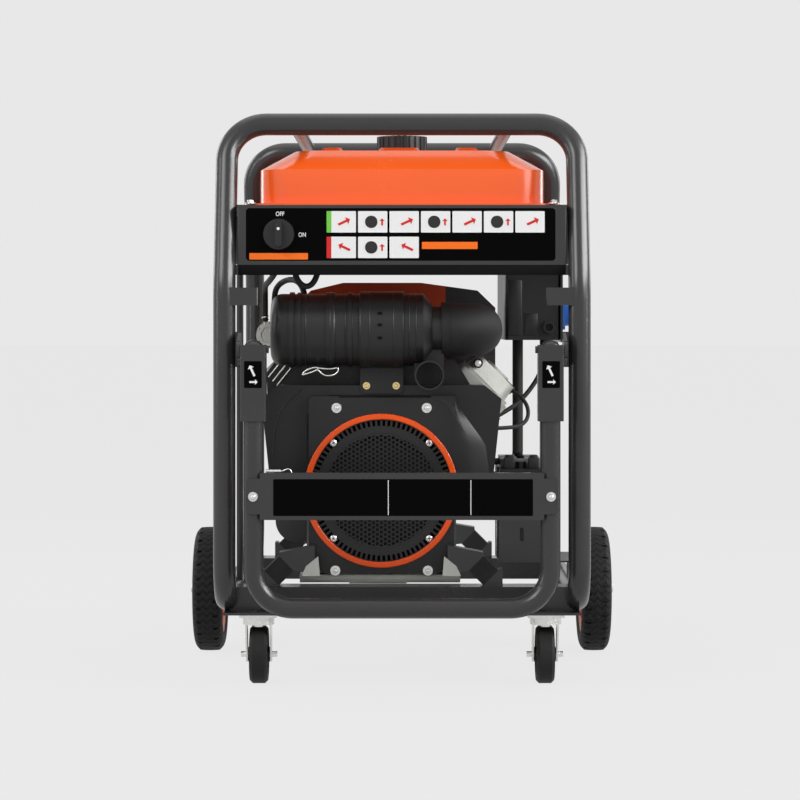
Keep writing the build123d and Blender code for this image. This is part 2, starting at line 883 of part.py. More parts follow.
fascia_h = fascia_top_z - fascia_bottom_z
fascia_mid_z = (fascia_top_z + fascia_bottom_z) / 2
fascia_back = -tank_rail_front
with BuildPart() as fascia:
    with BuildSketch(front_plane(fascia_back)):
        with Locations((0, fascia_mid_z)):
            Rectangle(2 * fascia_half_x, fascia_h)
    extrude(amount=fascia_back - fascia_y)
    with BuildSketch(front_plane(fascia_back)):
        with Locations((0, fascia_mid_z)):
            Rectangle(2 * (fascia_half_x - fascia_t), fascia_h - 2 * fascia_t)
    extrude(amount=fascia_back - fascia_y - fascia_t, mode=Mode.SUBTRACT)
    with BuildSketch(front_plane(fascia_back)):
        with Locations((knob_x, knob_z)):
            Circle(knob_stem_d / 2 + axle_play)
    extrude(amount=fascia_back - fascia_y, mode=Mode.SUBTRACT)
    fascia_front = fascia.edges().filter_by(Axis.Z).group_by(Axis.Y)[0]
    fillet(fascia_front, fascia_t)
    add(front_hoop.part, mode=Mode.SUBTRACT)
save(fascia, "fascia_panel")

# Fuel valve behind the fascia and its knob
with BuildPart() as fuel_valve:
    with BuildSketch(front_plane(fascia_y + fascia_t + valve_len)):
        with Locations((knob_x, knob_z)):
            Circle(valve_d / 2)
            Circle(knob_stem_d / 2 + axle_play, mode=Mode.SUBTRACT)
    extrude(amount=valve_len)
    with BuildSketch(Plane.XY.offset(knob_z - valve_d)):
        with Locations((knob_x, fascia_y + fascia_t + valve_len * 0.7)):
            Circle(tap_r)
    extrude(amount=valve_d / 2 + tap_proud)
save(fuel_valve, "fuel_valve")

with BuildPart() as knob:
    with BuildSketch(front_plane(fascia_y - knob_gap)):
        with Locations((knob_x, knob_z)):
            Circle(knob_d / 2)
    extrude(amount=knob_h * skirt_share, taper=knob_draft)
    with BuildSketch(front_plane(fascia_y - knob_gap)):
        with Locations((knob_x, knob_z)):
            SlotOverall(knob_d * grip_len, knob_d * grip_w, rotation=90)
    extrude(amount=knob_h, taper=4)
    with BuildSketch(front_plane(fascia_y - knob_gap)):
        with Locations((knob_x, knob_z)):
            Circle(knob_stem_d / 2)
    extrude(amount=-(fascia_t + valve_len * 0.5))
save(knob, "fuel_valve_knob")

# Crankcase with the crankshaft bore, two bank faces and a finned sump
crank_r = crank_d / 2
bank_slope = radians(bank_angle)
with BuildPart() as crankcase:
    with BuildSketch(front_plane(case_rear_y)):
        with BuildLine():
            Polyline((engine_x - case_half_x, case_bottom_z), (engine_x + case_half_x, case_bottom_z),
                     (engine_x + case_half_x, crank_z - case_waist),
                     (engine_x + case_shoulder_x, crank_z + case_rise),
                     (engine_x + case_peak_x, case_peak_z), (engine_x - case_peak_x, case_peak_z),
                     (engine_x - case_shoulder_x, crank_z + case_rise),
                     (engine_x - case_half_x, crank_z - case_waist),
                     close=True)
        make_face()
    extrude(amount=case_rear_y - case_front_y)
    fillet(crankcase.edges().filter_by(Axis.Y).group_by(Axis.Z)[0], case_fillet)
    with BuildSketch(front_plane(case_rear_y)):
        with Locations((engine_x, crank_z)):
            Circle(crank_r + crank_play)
    extrude(amount=case_rear_y - case_front_y, mode=Mode.SUBTRACT)
save(crankcase, "crankcase")


def bank_plane(side, distance):
    """Plane square to one cylinder's axis at a distance from the crankshaft."""
    out = (side * sin(bank_slope), 0, cos(bank_slope))
    y = bank_y - side * bank_stagger
    origin = (engine_x + out[0] * distance, y, crank_z + out[2] * distance)
    return Plane(origin=origin, x_dir=(0, 1, 0), z_dir=out)


# Finned cylinders, cylinder heads and rocker covers on both banks
bank_start = cylinder_start
fin_pitch = (cylinder_end - bank_start - fin_first) / fin_count
with BuildPart() as cylinders:
    for side in (-1, 1):
        with BuildSketch(bank_plane(side, bank_start - fin_first)):
            Circle(cylinder_d / 2)
        extrude(amount=cylinder_end - bank_start + fin_first)
        for index in range(fin_count):
            with BuildSketch(bank_plane(side, bank_start + fin_first + index * fin_pitch)):
                RectangleRounded(fin_side, fin_side, fin_r)
            extrude(amount=fin_t)
    add(crankcase.part, mode=Mode.SUBTRACT)

with BuildPart() as heads:
    for side in (-1, 1):
        with BuildSketch(bank_plane(side, cylinder_end)):
            RectangleRounded(head_side, head_side, fin_r)
        extrude(amount=head_len)
        for index in range(head_fins):
            with BuildSketch(bank_plane(side, cylinder_end + fin_first / 2 + index * fin_pitch)):
                RectangleRounded(head_side + 2 * fin_proud, head_side + 2 * fin_proud, fin_r)
            extrude(amount=fin_t)
save_group((cylinders, heads), "cylinders")

with BuildPart() as covers:
    for side in (-1, 1):
        with BuildSketch(bank_plane(side, cylinder_end + head_len)):
            RectangleRounded(cover_side + 2 * cover_lip, cover_side + 2 * cover_lip, cover_r)
        extrude(amount=cover_lip)
        with BuildSketch(bank_plane(side, cylinder_end + head_len + cover_lip)):
            RectangleRounded(cover_side, cover_side, cover_r)
        extrude(amount=cover_len - cover_lip, taper=cover_draft)
        with BuildSketch(bank_plane(side, cylinder_end + head_len + cover_len)):
            Circle(cover_boss_d / 2)
        extrude(amount=cover_boss_h)
save(covers, "rocker_covers")

# Blower housing: back shell with wings over both banks, raised front with the round inlet, air guide on top
face_mid_z = (case_bottom_z + face_top) / 2
with BuildPart() as blower:
    for skin, mode in ((0.0, Mode.ADD), (blower_wall, Mode.SUBTRACT)):
        with BuildSketch(front_plane(case_front_y)):
            with BuildLine():
                half_outline = [
                    (foot_half_x - skin, case_bottom_z + skin),
                    (face_w / 2 - skin, case_bottom_z + foot_rise),
                    (face_w / 2 - skin, wing_low_z - waist_drop),
                    (wing_low_x - skin, wing_low_z),
                    (wing_x - skin, wing_top_z - wing_chamfer),
                    (wing_x - wing_bevel - skin, wing_top_z - skin),
                ]
                right = [(engine_x + x, z) for x, z in half_outline]
                left = [(engine_x - x, z) for x, z in reversed(half_outline)]
                Polyline(*right, *left, close=True)
            make_face()
        extrude(amount=case_front_y - blower_step_y - skin, mode=mode)
        with BuildSketch(front_plane(blower_step_y + skin)):
            with Locations((engine_x, face_mid_z)):
                RectangleRounded(face_w - 2 * skin, face_top - case_bottom_z - 2 * skin, face_r)
        extrude(amount=blower_step_y - blower_front_y, taper=face_draft, mode=mode)
    with BuildSketch(front_plane(blower_step_y)):
        with Locations((engine_x, crank_z)):
            Circle(grille_d / 2)
    extrude(amount=2 * (blower_step_y - blower_front_y), mode=Mode.SUBTRACT)
    with BuildSketch(front_plane(case_front_y)):
        with BuildLine():
            guide_foot_z = wing_top_z - 2 * blower_wall
            Polyline((engine_x - guide_left - guide_slope, guide_foot_z),
                     (engine_x - guide_left, guide_top_z),
                     (engine_x + guide_right, guide_top_z),
                     (engine_x + guide_right + guide_slope, guide_foot_z),
                     close=True)
        make_face()
    extrude(amount=blower_wall)
save(blower, "blower_housing")

# Fan grille: hexagonal perforations inside a ring of radial slots, and the ring that holds it
mesh_row = mesh_pitch * cos(radians(30))
mesh_limit = mesh_d / 2 - mesh_hole / 2
mesh_reach = int(mesh_limit / mesh_row) + 1
mesh_points = []
for row in range(-mesh_reach, mesh_reach + 1):
    for column in range(-mesh_reach, mesh_reach + 1):
        hole_x = (column + 0.5 * (row % 2)) * mesh_pitch
        hole_z = row * mesh_row
        if (hole_x ** 2 + hole_z ** 2) ** 0.5 < mesh_limit:
            mesh_points.append((hole_x, hole_z))
grille_plane = Plane(origin=(engine_x, blower_front_y, crank_z), x_dir=(1, 0, 0), z_dir=(0, -1, 0))
slot_mid_r = (slot_in_r + slot_out_r) / 2
with BuildPart() as grille:
    with BuildSketch(grille_plane):
        Circle(grille_d / 2)
        with Locations(*mesh_points):
            RegularPolygon(mesh_hole / 2, 6, mode=Mode.SUBTRACT)
        with PolarLocations(slot_mid_r, slot_count):
            Rectangle(slot_out_r - slot_in_r, slot_w, mode=Mode.SUBTRACT)
    extrude(amount=-grille_t)
save(grille, "fan_grille")

with BuildPart() as ring:
    with BuildSketch(grille_plane):
        Circle(ring_d / 2)
        Circle(ring_d / 2 - ring_w, mode=Mode.SUBTRACT)
    extrude(amount=ring_proud)
    fillet(ring.faces().sort_by(Axis.Y)[0].edges(), ring_edge)
save(ring, "grille_ring")

# Crankshaft with flywheel fan and alternator rotor
shaft_front_y = blower_front_y + grille_t + shaft_nose
with BuildPart() as crankshaft:
    with BuildSketch(front_plane(alt_rear_y + bell_len - bell_wall)):
        with Locations((engine_x, crank_z)):
            Circle(crank_r)
    extrude(amount=alt_rear_y + bell_len - bell_wall - shaft_front_y)
save(crankshaft, "crankshaft")

fan_y = case_front_y - fan_off
with BuildPart() as flywheel:
    with BuildSketch(front_plane(fan_y)):
        with Locations((engine_x, crank_z)):
            Circle(fan_d / 2)
    extrude(amount=fan_t)
    with BuildSketch(front_plane(fan_y - fan_t)):
        with Locations((engine_x, crank_z)):
            Circle(fan_hub_r)
            with PolarLocations(fan_d / 2 - blade_len / 2 - blade_edge, blade_count):
                Rectangle(blade_len, blade_t, rotation=blade_angle)
    extrude(amount=blade_h)
    with BuildSketch(front_plane(fan_y)):
        with Locations((engine_x, crank_z)):
            Circle(crank_r)
    extrude(amount=fan_t + blade_h, mode=Mode.SUBTRACT)
save(flywheel, "flywheel_fan")

# Alternator: ribbed housing on a foot, stator, rotor and slotted end bell
alt_r = alt_d / 2
stator_out_r = alt_r - alt_wall
stator_in_r = stator_out_r - stator_t
stator_y = (alt_front_y + alt_rear_y + stator_len) / 2
alt_foot_z = case_bottom_z
with BuildPart() as housing:
    with BuildSketch(front_plane(alt_rear_y)):
        with Locations((engine_x, crank_z)):
            Circle(alt_r)
            with PolarLocations(alt_r, alt_ribs):
                Rectangle(alt_rib_h, alt_rib_w)
        with Locations((engine_x, (alt_foot_z + crank_z) / 2)):
            Rectangle(2 * alt_foot_half, crank_z - alt_foot_z)
        with Locations((engine_x, crank_z)):
            Circle(stator_out_r, mode=Mode.SUBTRACT)
    extrude(amount=alt_len)
    with BuildSketch(front_plane(alt_front_y + alt_wall)):
        with Locations((engine_x, crank_z)):
            Circle(stator_out_r)
            Circle(crank_r + shaft_room, mode=Mode.SUBTRACT)
    extrude(amount=alt_wall)
save(housing, "alternator_housing")

with BuildPart() as stator:
    with BuildSketch(front_plane(stator_y)):
        with Locations((engine_x, crank_z)):
            Circle(stator_out_r)
            Circle(stator_in_r, mode=Mode.SUBTRACT)
    extrude(amount=stator_len)
save(stator, "stator")

with BuildPart() as rotor:
    with BuildSketch(front_plane(stator_y)):
        with Locations((engine_x, crank_z)):
            Circle(stator_in_r - rotor_gap)
            Circle(crank_r, mode=Mode.SUBTRACT)
            with PolarLocations(stator_in_r, 4, start_angle=45):
                Rectangle(pole_w, pole_slot, mode=Mode.SUBTRACT)
    extrude(amount=stator_len)
save(rotor, "alternator_rotor")

with BuildPart() as end_bell:
    with BuildSketch(front_plane(alt_rear_y + bell_len)):
        with Locations((engine_x, crank_z)):
            Circle(alt_r)
    extrude(amount=bell_len)
    fillet(end_bell.faces().sort_by(Axis.Y)[-1].edges(), bell_r)
    with BuildSketch(front_plane(alt_rear_y + bell_len - bell_wall)):
        with Locations((engine_x, crank_z)):
            Circle(stator_out_r - bell_rim)
            Circle(crank_r + bell_rim, mode=Mode.SUBTRACT)
    extrude(amount=bell_len - bell_wall, mode=Mode.SUBTRACT)
    with BuildSketch(front_plane(alt_rear_y + bell_len)):
        with Locations((engine_x, crank_z)):
            with PolarLocations(vent_ring_r, vent_count):
                Rectangle(vent_len, vent_w)
    extrude(amount=bell_len, mode=Mode.SUBTRACT)
    with BuildSketch(front_plane(alt_rear_y + bell_len - bell_wall)):
        with Locations((engine_x, crank_z)):
            Circle(crank_r + crank_play)
    extrude(amount=bell_len - bell_wall, mode=Mode.SUBTRACT)
save(end_bell, "end_bell")

# Air cleaner: canister along X with a cone at the right and a forward intake snout
cleaner_r = cleaner_d / 2
cone_x = cleaner_right_x - cone_len
cleaner_plane = Plane(origin=(0, cleaner_y, cleaner_z), x_dir=(1, 0, 0), z_dir=(0, -1, 0))
cleaner_axis = Axis((0, cleaner_y, cleaner_z), (1, 0, 0))
snout_plane = Plane(origin=(snout_x, cleaner_y, snout_z), x_dir=(1, 0, 0), z_dir=(0, -1, 0))
with BuildPart() as cleaner:
    with BuildSketch(cleaner_plane):
        with BuildLine():
            Polyline((cleaner_cap_x, 0), (cleaner_right_x, 0), (cleaner_right_x, elbow_r - elbow_wall),
                     (cone_x + cone_run, elbow_r - elbow_wall), (cone_x, cleaner_r),
                     (cleaner_cap_x, cleaner_r),
                     close=True)
        make_face()
        for x in band_x:
            with Locations((x, cleaner_r)):
                Rectangle(band_w, band_h)
    revolve(axis=cleaner_axis)
    with BuildSketch(snout_plane):
        Circle(snout_d / 2)
        with Locations((0, (cleaner_z - snout_z) / 2)):
            Rectangle(snout_d, cleaner_z - snout_z)
    extrude(amount=snout_root)
    with BuildSketch(snout_plane):
        Circle(snout_d / 2)
    extrude(amount=cleaner_y - snout_front_y)
    with BuildSketch(cleaner_plane):
        with BuildLine():
            Polyline((cleaner_cap_x, 0), (cone_x - clamp_t, 0), (cone_x - clamp_t, cleaner_r - cleaner_wall),
                     (cleaner_cap_x, cleaner_r - cleaner_wall), close=True)
        make_face()
    revolve(axis=cleaner_axis, mode=Mode.SUBTRACT)
    with BuildSketch(snout_plane):
        Circle(snout_bore / 2)
    extrude(amount=cleaner_y - snout_front_y, mode=Mode.SUBTRACT)
save(cleaner, "air_cleaner_body")

with BuildPart() as cleaner_cap:
    with BuildSketch(cleaner_plane):
        with BuildLine():
            Line((cleaner_cap_x, 0), (cleaner_left_x, 0))
            Line((cleaner_left_x, 0), (cleaner_left_x, cleaner_r - cap_crown))
            ThreePointArc((cleaner_left_x, cleaner_r - cap_crown),
                          (cleaner_left_x + cap_crown * 0.29, cleaner_r - cap_crown * 0.29),
                          (cleaner_left_x + cap_crown, cleaner_r))
            Line((cleaner_left_x + cap_crown, cleaner_r), (cleaner_cap_x - cap_lip_w, cleaner_r))
            Line((cleaner_cap_x - cap_lip_w, cleaner_r), (cleaner_cap_x - cap_lip_w, cleaner_r + cap_lip_h))
            Line((cleaner_cap_x - cap_lip_w, cleaner_r + cap_lip_h), (cleaner_cap_x, cleaner_r + cap_lip_h))
            Line((cleaner_cap_x, cleaner_r + cap_lip_h), (cleaner_cap_x, 0))
        make_face()
    revolve(axis=cleaner_axis)
save(cleaner_cap, "air_cleaner_cap")

element_r = cleaner_r - element_room
with BuildPart() as element:
    with BuildSketch(Plane(origin=(cleaner_cap_x, cleaner_y, cleaner_z), x_dir=(0, 1, 0), z_dir=(1, 0, 0))):
        Circle(element_r)
        Circle(element_r - element_t, mode=Mode.SUBTRACT)
        with PolarLocations(element_r, pleats):
            Rectangle(pleat_d, pleat_d, rotation=45, mode=Mode.SUBTRACT)
    extrude(amount=cone_x - clamp_t - cleaner_cap_x)
save(element, "filter_element")

# Clamp band with a tab down to the blower housing
clamp_mid = (clamp_left_x + clamp_right_x) / 2
clamp_w = clamp_right_x - clamp_left_x
tab_bottom = wing_top_z - tab_drop
with BuildPart() as clamp:
    with BuildSketch(Plane(origin=(clamp_left_x, cleaner_y, cleaner_z), x_dir=(0, 1, 0), z_dir=(1, 0, 0))):
        Circle(cleaner_r + clamp_t)
        Circle(cleaner_r, mode=Mode.SUBTRACT)
    extrude(amount=clamp_w)
    with BuildSketch(front_plane(blower_step_y)):
        with Locations((clamp_mid, (tab_bottom + cleaner_z) / 2)):
            RectangleRounded(clamp_w, cleaner_z - tab_bottom, tab_r)
    extrude(amount=clamp_t)
    with BuildSketch(cleaner_plane):
        with BuildLine():
            Polyline((clamp_left_x, 0), (clamp_right_x, 0), (clamp_right_x, cleaner_r),
                     (clamp_left_x, cleaner_r), close=True)
        make_face()
    revolve(axis=cleaner_axis, mode=Mode.SUBTRACT)
    add(blower.part, mode=Mode.SUBTRACT)
save(clamp, "air_cleaner_clamp")

# Rubber elbow that turns back towards the carburettor
elbow_plane = Plane(origin=(cleaner_right_x, cleaner_y, cleaner_z), x_dir=(0, 1, 0), z_dir=(1, 0, 0))
elbow_axis = Axis((cleaner_right_x, cleaner_y + elbow_bend_r, cleaner_z), (0, 0, 1))
with BuildPart() as elbow:
    with BuildSketch(elbow_plane):
        Circle(elbow_r)
        Circle(elbow_r - elbow_wall, mode=Mode.SUBTRACT)
    revolve(axis=elbow_axis, revolution_arc=180)
    with BuildSketch(elbow_plane):
        Circle(elbow_r + cuff_t)
        Circle(elbow_r - elbow_wall, mode=Mode.SUBTRACT)
    extrude(amount=-cuff_w)
    add(cleaner.part, mode=Mode.SUBTRACT)
save(elbow, "intake_elbow")

# Carburettor behind the air cleaner and its manifold into the V
carb_y = cleaner_y + 2 * elbow_bend_r
carb_plane = Plane(origin=(cleaner_right_x, carb_y, cleaner_z), x_dir=(0, 1, 0), z_dir=(-1, 0, 0))
with BuildPart() as carburettor:
    with BuildSketch(carb_plane):
        Circle(elbow_r - elbow_wall)
    extrude(amount=spigot_len)
    with BuildSketch(carb_plane):
        Circle(carb_d / 2)
    extrude(amount=cleaner_right_x - manifold_x + manifold_r)
    with Locations(((cleaner_right_x + manifold_x) / 2, carb_y, cleaner_z - bowl_h / 2)):
        Box(bowl_w, bowl_len, bowl_h)
    with BuildSketch(front_plane(bank_y)):
        with Locations((manifold_x, cleaner_z)):
            Circle(manifold_r)
    extrude(amount=bank_y - carb_y)
    with BuildSketch(front_plane(bank_y - manifold_r)):
        with Locations((manifold_x, (cleaner_z + case_peak_z) / 2)):
            Rectangle(2 * manifold_r, cleaner_z - case_peak_z)
    extrude(amount=-2 * manifold_r)
    add(crankcase.part, mode=Mode.SUBTRACT)
    add(heads.part, mode=Mode.SUBTRACT)
    add(cylinders.part, mode=Mode.SUBTRACT)

# Orange cover arched over the V: closed front, open rear, skirts seated on the rocker covers
with BuildPart() as engine_cover:
    for skin, mode in ((0.0, Mode.ADD), (cover_t, Mode.SUBTRACT)):
        with BuildSketch(front_plane(cover_rear_y)):
            with BuildLine():
                Polyline((cover_left_x + skin, skirt_z), (cover_left_x + skin, cover_eave_z),
                         (cover_left_x + cover_slope + skin, cover_top_z - cover_fall - skin),
                         (engine_x - cover_ridge, cover_top_z - skin),
                         (engine_x + cover_ridge, cover_top_z - skin),
                         (cover_right_x - cover_slope - skin, cover_top_z - cover_fall - skin),
                         (cover_right_x - skin, cover_eave_z), (cover_right_x - skin, skirt_z), close=True)
            make_face()
        extrude(amount=cover_rear_y - cover_front_y - skin, mode=mode)
    with BuildSketch(front_plane(cover_front_y + cover_t)):
        with Locations((manifold_x, cleaner_z)):
            Circle(manifold_r + manifold_play)
    extrude(amount=cover_t, mode=Mode.SUBTRACT)
    with BuildSketch(Plane.XY.offset(cover_top_z)):
        with Locations((engine_x, (cover_front_y + cover_rear_y) / 2)):
            with GridLocations(louvre_pitch, 0, louvre_count, 1):
                SlotOverall(louvre_len, louvre_w, rotation=90)
    extrude(amount=-cover_t, mode=Mode.SUBTRACT)
    add(heads.part, mode=Mode.SUBTRACT)
    add(cylinders.part, mode=Mode.SUBTRACT)
    add(covers.part, mode=Mode.SUBTRACT)
save(engine_cover, "engine_cover")

# Round fuel pump on a tab beside the cover, with two hose nipples
with BuildPart() as fuel_pump:
    with BuildSketch(front_plane(pump_y)):
        with Locations((pump_x, pump_z)):
            Circle(pump_d / 2)
    extrude(amount=pump_len / 2, both=True)
    with BuildSketch(front_plane(pump_y)):
        with Locations((pump_x, pump_z)):
            RegularPolygon(pump_d / 2 + pump_rim, 6)
    extrude(amount=pump_rim / 2, both=True)
    with BuildSketch(front_plane(pump_y)):
        with Locations(((pump_x + cover_left_x) / 2, pump_z)):
            Rectangle(cover_left_x - pump_x, pump_d / 2)
    extrude(amount=cover_t / 2, both=True)
    with BuildSketch(Plane.XY.offset(pump_z)):
        with Locations((pump_x - nipple_x, pump_y), (pump_x + nipple_x, pump_y)):
            Circle(nipple_d / 2)
    extrude(amount=pump_d / 2 + nipple_h)
save_group((carburettor, fuel_pump), "carburettor")

# Muffler on two feet over the alternator, with a tail spout, and the exhaust pipes from both heads
muffler_mid_z = muffler_bottom_z + muffler_h / 2
with BuildPart() as muffler:
    with BuildSketch(front_plane(muffler_rear_y)):
        with Locations((engine_x, muffler_mid_z)):
            SlotOverall(2 * muffler_half_x, muffler_h)
    extrude(amount=muffler_rear_y - muffler_front_y)
    for y in (muffler_front_y + saddle_inset, muffler_rear_y - saddle_inset):
        with BuildSketch(front_plane(y)):
            with Locations((engine_x, (muffler_mid_z + crank_z + stator_out_r) / 2)):
                Rectangle(saddle_w, muffler_mid_z - crank_z - stator_out_r)
        extrude(amount=foot_t)
    with BuildSketch(front_plane(muffler_rear_y + spout_len)):
        with Locations((engine_x - muffler_half_x / 2, muffler_mid_z)):
            Circle(pipe_d / 2)
            Circle(pipe_d / 2 - pipe_wall, mode=Mode.SUBTRACT)
    extrude(amount=spout_len)
    add(housing.part, mode=Mode.SUBTRACT)
    muffler_envelope = muffler.part
    with BuildSketch(front_plane(muffler_rear_y - muffler_wall)):
        with Locations((engine_x, muffler_mid_z)):
            SlotOverall(2 * (muffler_half_x - muffler_wall), muffler_h - 2 * muffler_wall)
    extrude(amount=muffler_rear_y - muffler_front_y - 2 * muffler_wall, mode=Mode.SUBTRACT)
save(muffler, "muffler")

head_mid = cylinder_end + head_len / 2
with BuildPart() as exhaust_pipes:
    for side in (-1, 1):
        port = bank_plane(side, head_mid).origin
        port_y = port.Y + head_side / 2
        entry_y = muffler_front_y + entry_mid + side * entry_half
        with BuildLine() as pipe_line:
            FilletPolyline((port.X, port_y, port.Z), (port.X, entry_y - entry_mid, port.Z),
                           (port.X, entry_y, muffler_mid_z), (engine_x, entry_y, muffler_mid_z),
                           radius=[pipe_d, pipe_bend_r])
        with BuildSketch(Plane(origin=pipe_line.line @ 0, z_dir=pipe_line.line % 0)):
            Circle(pipe_d / 2)
        sweep()
    add(muffler_envelope, mode=Mode.SUBTRACT)
    add(heads.part, mode=Mode.SUBTRACT)
save(exhaust_pipes, "exhaust_pipes")

# Starter motor beside the crankcase
starter_x = engine_x - case_half_x - starter_d / 2 + starter_lap
starter_z = crank_z - starter_drop
with BuildPart() as starter:
    with BuildSketch(front_plane(case_front_y + starter_rear)):
        with Locations((starter_x, starter_z)):
            Circle(starter_d / 2)
    extrude(amount=starter_len)
    fillet(starter.faces().sort_by(Axis.Y)[-1].edges(), starter_edge)
    with BuildSketch(front_plane(case_front_y + solenoid_rear)):
        with Locations((starter_x, starter_z + starter_d / 2)):
            Circle(solenoid_d / 2)
    extrude(amount=solenoid_len)
    add(crankcase.part, mode=Mode.SUBTRACT)
save(starter, "starter_motor")

# Rubber mounts at 45 degrees, the brackets below them and the feet that carry engine and alternator
mount_half = mount_side / 2
mount_z = channel_top + mount_rise
diag = cos(radians(45))
mount_spots = []
for mount_y in (front_channel_y, rear_channel_y):
    for side in (-1, 1):
        mount_spots.append((side, mount_y))


def mount_point(side, along, across):
    """Point in the XZ view of one mount; along runs up towards the engine, across runs outward and up."""
    x = engine_x + side * (mount_span - (along - across) * diag)
    return (x, mount_z + (along + across) * diag)


with BuildPart() as rubber_mounts:
    for side, mount_y in mount_spots:
        with BuildSketch(front_plane(mount_y + mount_side / 2)):
            with BuildLine():
                Polyline(mount_point(side, -mount_half, -mount_half), mount_point(side, mount_half,
                                                                                  -mount_half),
                         mount_point(side, mount_half, mount_half), mount_point(side, -mount_half,
                                                                                mount_half),
                         close=True)
            make_face()
        extrude(amount=mount_side)
save(rubber_mounts, "rubber_mounts")

with BuildPart() as mount_brackets:
    for side, mount_y in mount_spots:
        low = mount_point(side, -mount_half, -mount_half)
        high = mount_point(side, -mount_half, mount_half + bracket_rise)
        outer_x = high[0] + side * bracket_plate
        with BuildSketch(front_plane(mount_y + mount_side / 2)):
            with BuildLine():
                Polyline(low, high, (outer_x, high[1]), (outer_x, channel_top),
                         (low[0], channel_top), close=True)
            make_face()
        extrude(amount=mount_side)

with BuildPart() as engine_feet:
    for side, mount_y in mount_spots:
        low = mount_point(side, mount_half, -mount_half)
        high = mount_point(side, mount_half, mount_half)
        inner_half = case_half_x if mount_y < 0 else alt_foot_half
        inner_x = engine_x + side * inner_half
        inner_low = case_bottom_z + foot_lap
        with BuildSketch(front_plane(mount_y + mount_side / 2)):
            with BuildLine():
                Polyline(low, high, (high[0], high[1] + foot_lap), (inner_x, high[1] + foot_h),
                         (inner_x, inner_low),
                         close=True)
            make_face()
        extrude(amount=mount_side)
        if mount_y < 0:
            arm_mid_z = (inner_low + high[1] + foot_h) / 2
            arm_x = inner_x + side * arm_t / 2
            with Locations((arm_x, (mount_y + case_front_y) / 2 + arm_lap / 2, arm_mid_z)):
                Box(arm_t, case_front_y - mount_y + arm_lap, high[1] + foot_h - inner_low)
    add(rubber_mounts.part, mode=Mode.SUBTRACT)
    add(crankcase.part, mode=Mode.SUBTRACT)
    add(blower.part, mode=Mode.SUBTRACT)
    add(starter.part, mode=Mode.SUBTRACT)
    add(housing.part, mode=Mode.SUBTRACT)
save_group((mount_brackets, engine_feet), "mount_brackets")

# Battery in its tray at the right, with hold-down bar and hooked rods
battery_mid_x = battery_x + battery_w / 2
battery_mid_y = battery_front_y + battery_len / 2
battery_bottom = tray_z + tray_t
battery_top = battery_bottom + battery_h
post_y = (battery_front_y + post_inset, battery_front_y + battery_len - post_inset)
with BuildPart() as battery:
    with Locations((battery_mid_x, battery_mid_y, battery_bottom + battery_h / 2)):
        Box(battery_w, battery_len, battery_h)
    fillet(battery.edges().filter_by(Axis.Z), battery_edge)
    for y in post_y:
        with BuildSketch(Plane.XY.offset(battery_top)):
            with Locations((battery_mid_x, y)):
                Circle(post_r)
        extrude(amount=post_h)
save(battery, "battery")

tray_out_x = leg_x
with BuildPart() as tray:
    with BuildSketch(Plane.XY.offset(tray_z)):
        with Locations(((battery_x - tray_t + tray_out_x) / 2, battery_mid_y)):
            Rectangle(tray_out_x - battery_x + tray_t, battery_len + 2 * tray_t)
    extrude(amount=tray_t)
    with BuildSketch(front_plane(battery_front_y)):
        with Locations((battery_mid_x, tray_z + upstand_h / 2)):
            RectangleRounded(battery_w + 2 * tray_t, upstand_h, tray_t / 3)
        with Locations((battery_mid_x, tray_z + upstand_h * keyhole_at)):
            SlotOverall(keyhole_len, keyhole_w, rotation=90, mode=Mode.SUBTRACT)
    extrude(amount=tray_t)
    with Locations((tray_out_x - tray_t / 2, battery_mid_y, (tray_z + rail_z) / 2)):
        Box(tray_t, battery_len, tray_z - rail_z)
    add(front_hoop.part, mode=Mode.SUBTRACT)
save(tray, "battery_tray")

rod_x = battery_x + battery_w + rod_r
with BuildPart() as hold_down:
    with Locations((battery_mid_x + strap_over / 4, battery_mid_y, battery_top + strap_t / 2)):
        Box(battery_w + strap_over, strap_w, strap_t)
    for x in (battery_x - rod_r, rod_x):
        with BuildSketch(Plane.XY.offset(tray_z + tray_t)):
            with Locations((x, battery_mid_y)):
                Circle(rod_r)
        extrude(amount=battery_h + strap_t + rod_proud)
save(hold_down, "battery_hold_down")

# Control box under the right tank rail, its panel on the right side
box_top = tank_rail_z - tank_rail_size
box_mid = ((box_left_x + box_right_x) / 2, (box_front_y + box_rear_y) / 2, (box_bottom_z + box_top) / 2)
box_size = (box_right_x - box_left_x, box_rear_y - box_front_y, box_top - box_bottom_z)
with BuildPart() as control_box:
    with Locations(box_mid):
        Box(*box_size)
    fillet(control_box.edges().filter_by(Axis.Z), box_edge)
    with Locations((box_mid[0] + box_wall, box_mid[1], box_mid[2])):
        Box(box_size[0], box_size[1] - 2 * box_wall, box_size[2] - 2 * box_wall, mode=Mode.SUBTRACT)
save(control_box, "control_box")

panel_face = box_right_x + panel_t
with BuildPart() as control_panel:
    with BuildSketch(side_plane(box_right_x)):
        with Locations((box_mid[1], box_mid[2] - panel_t)):
            RectangleRounded(box_size[1] + 2 * box_edge, box_size[2], socket_edge)
        with Locations((key_y, key_z)):
            Circle(key_stem_r + axle_play, mode=Mode.SUBTRACT)
        with Locations((breaker_y, breaker_z)):
            Rectangle(breaker_w, breaker_h, mode=Mode.SUBTRACT)
    extrude(amount=panel_t)
    with BuildSketch(side_plane(panel_face)):
        with Locations((breaker_y, breaker_z)):
            RectangleRounded(breaker_w + 2 * bezel_w, breaker_h + 3 * bezel_w, lid_t / 2)
            Rectangle(breaker_w, breaker_h, mode=Mode.SUBTRACT)
    extrude(amount=lid_t)
save(control_panel, "control_panel")

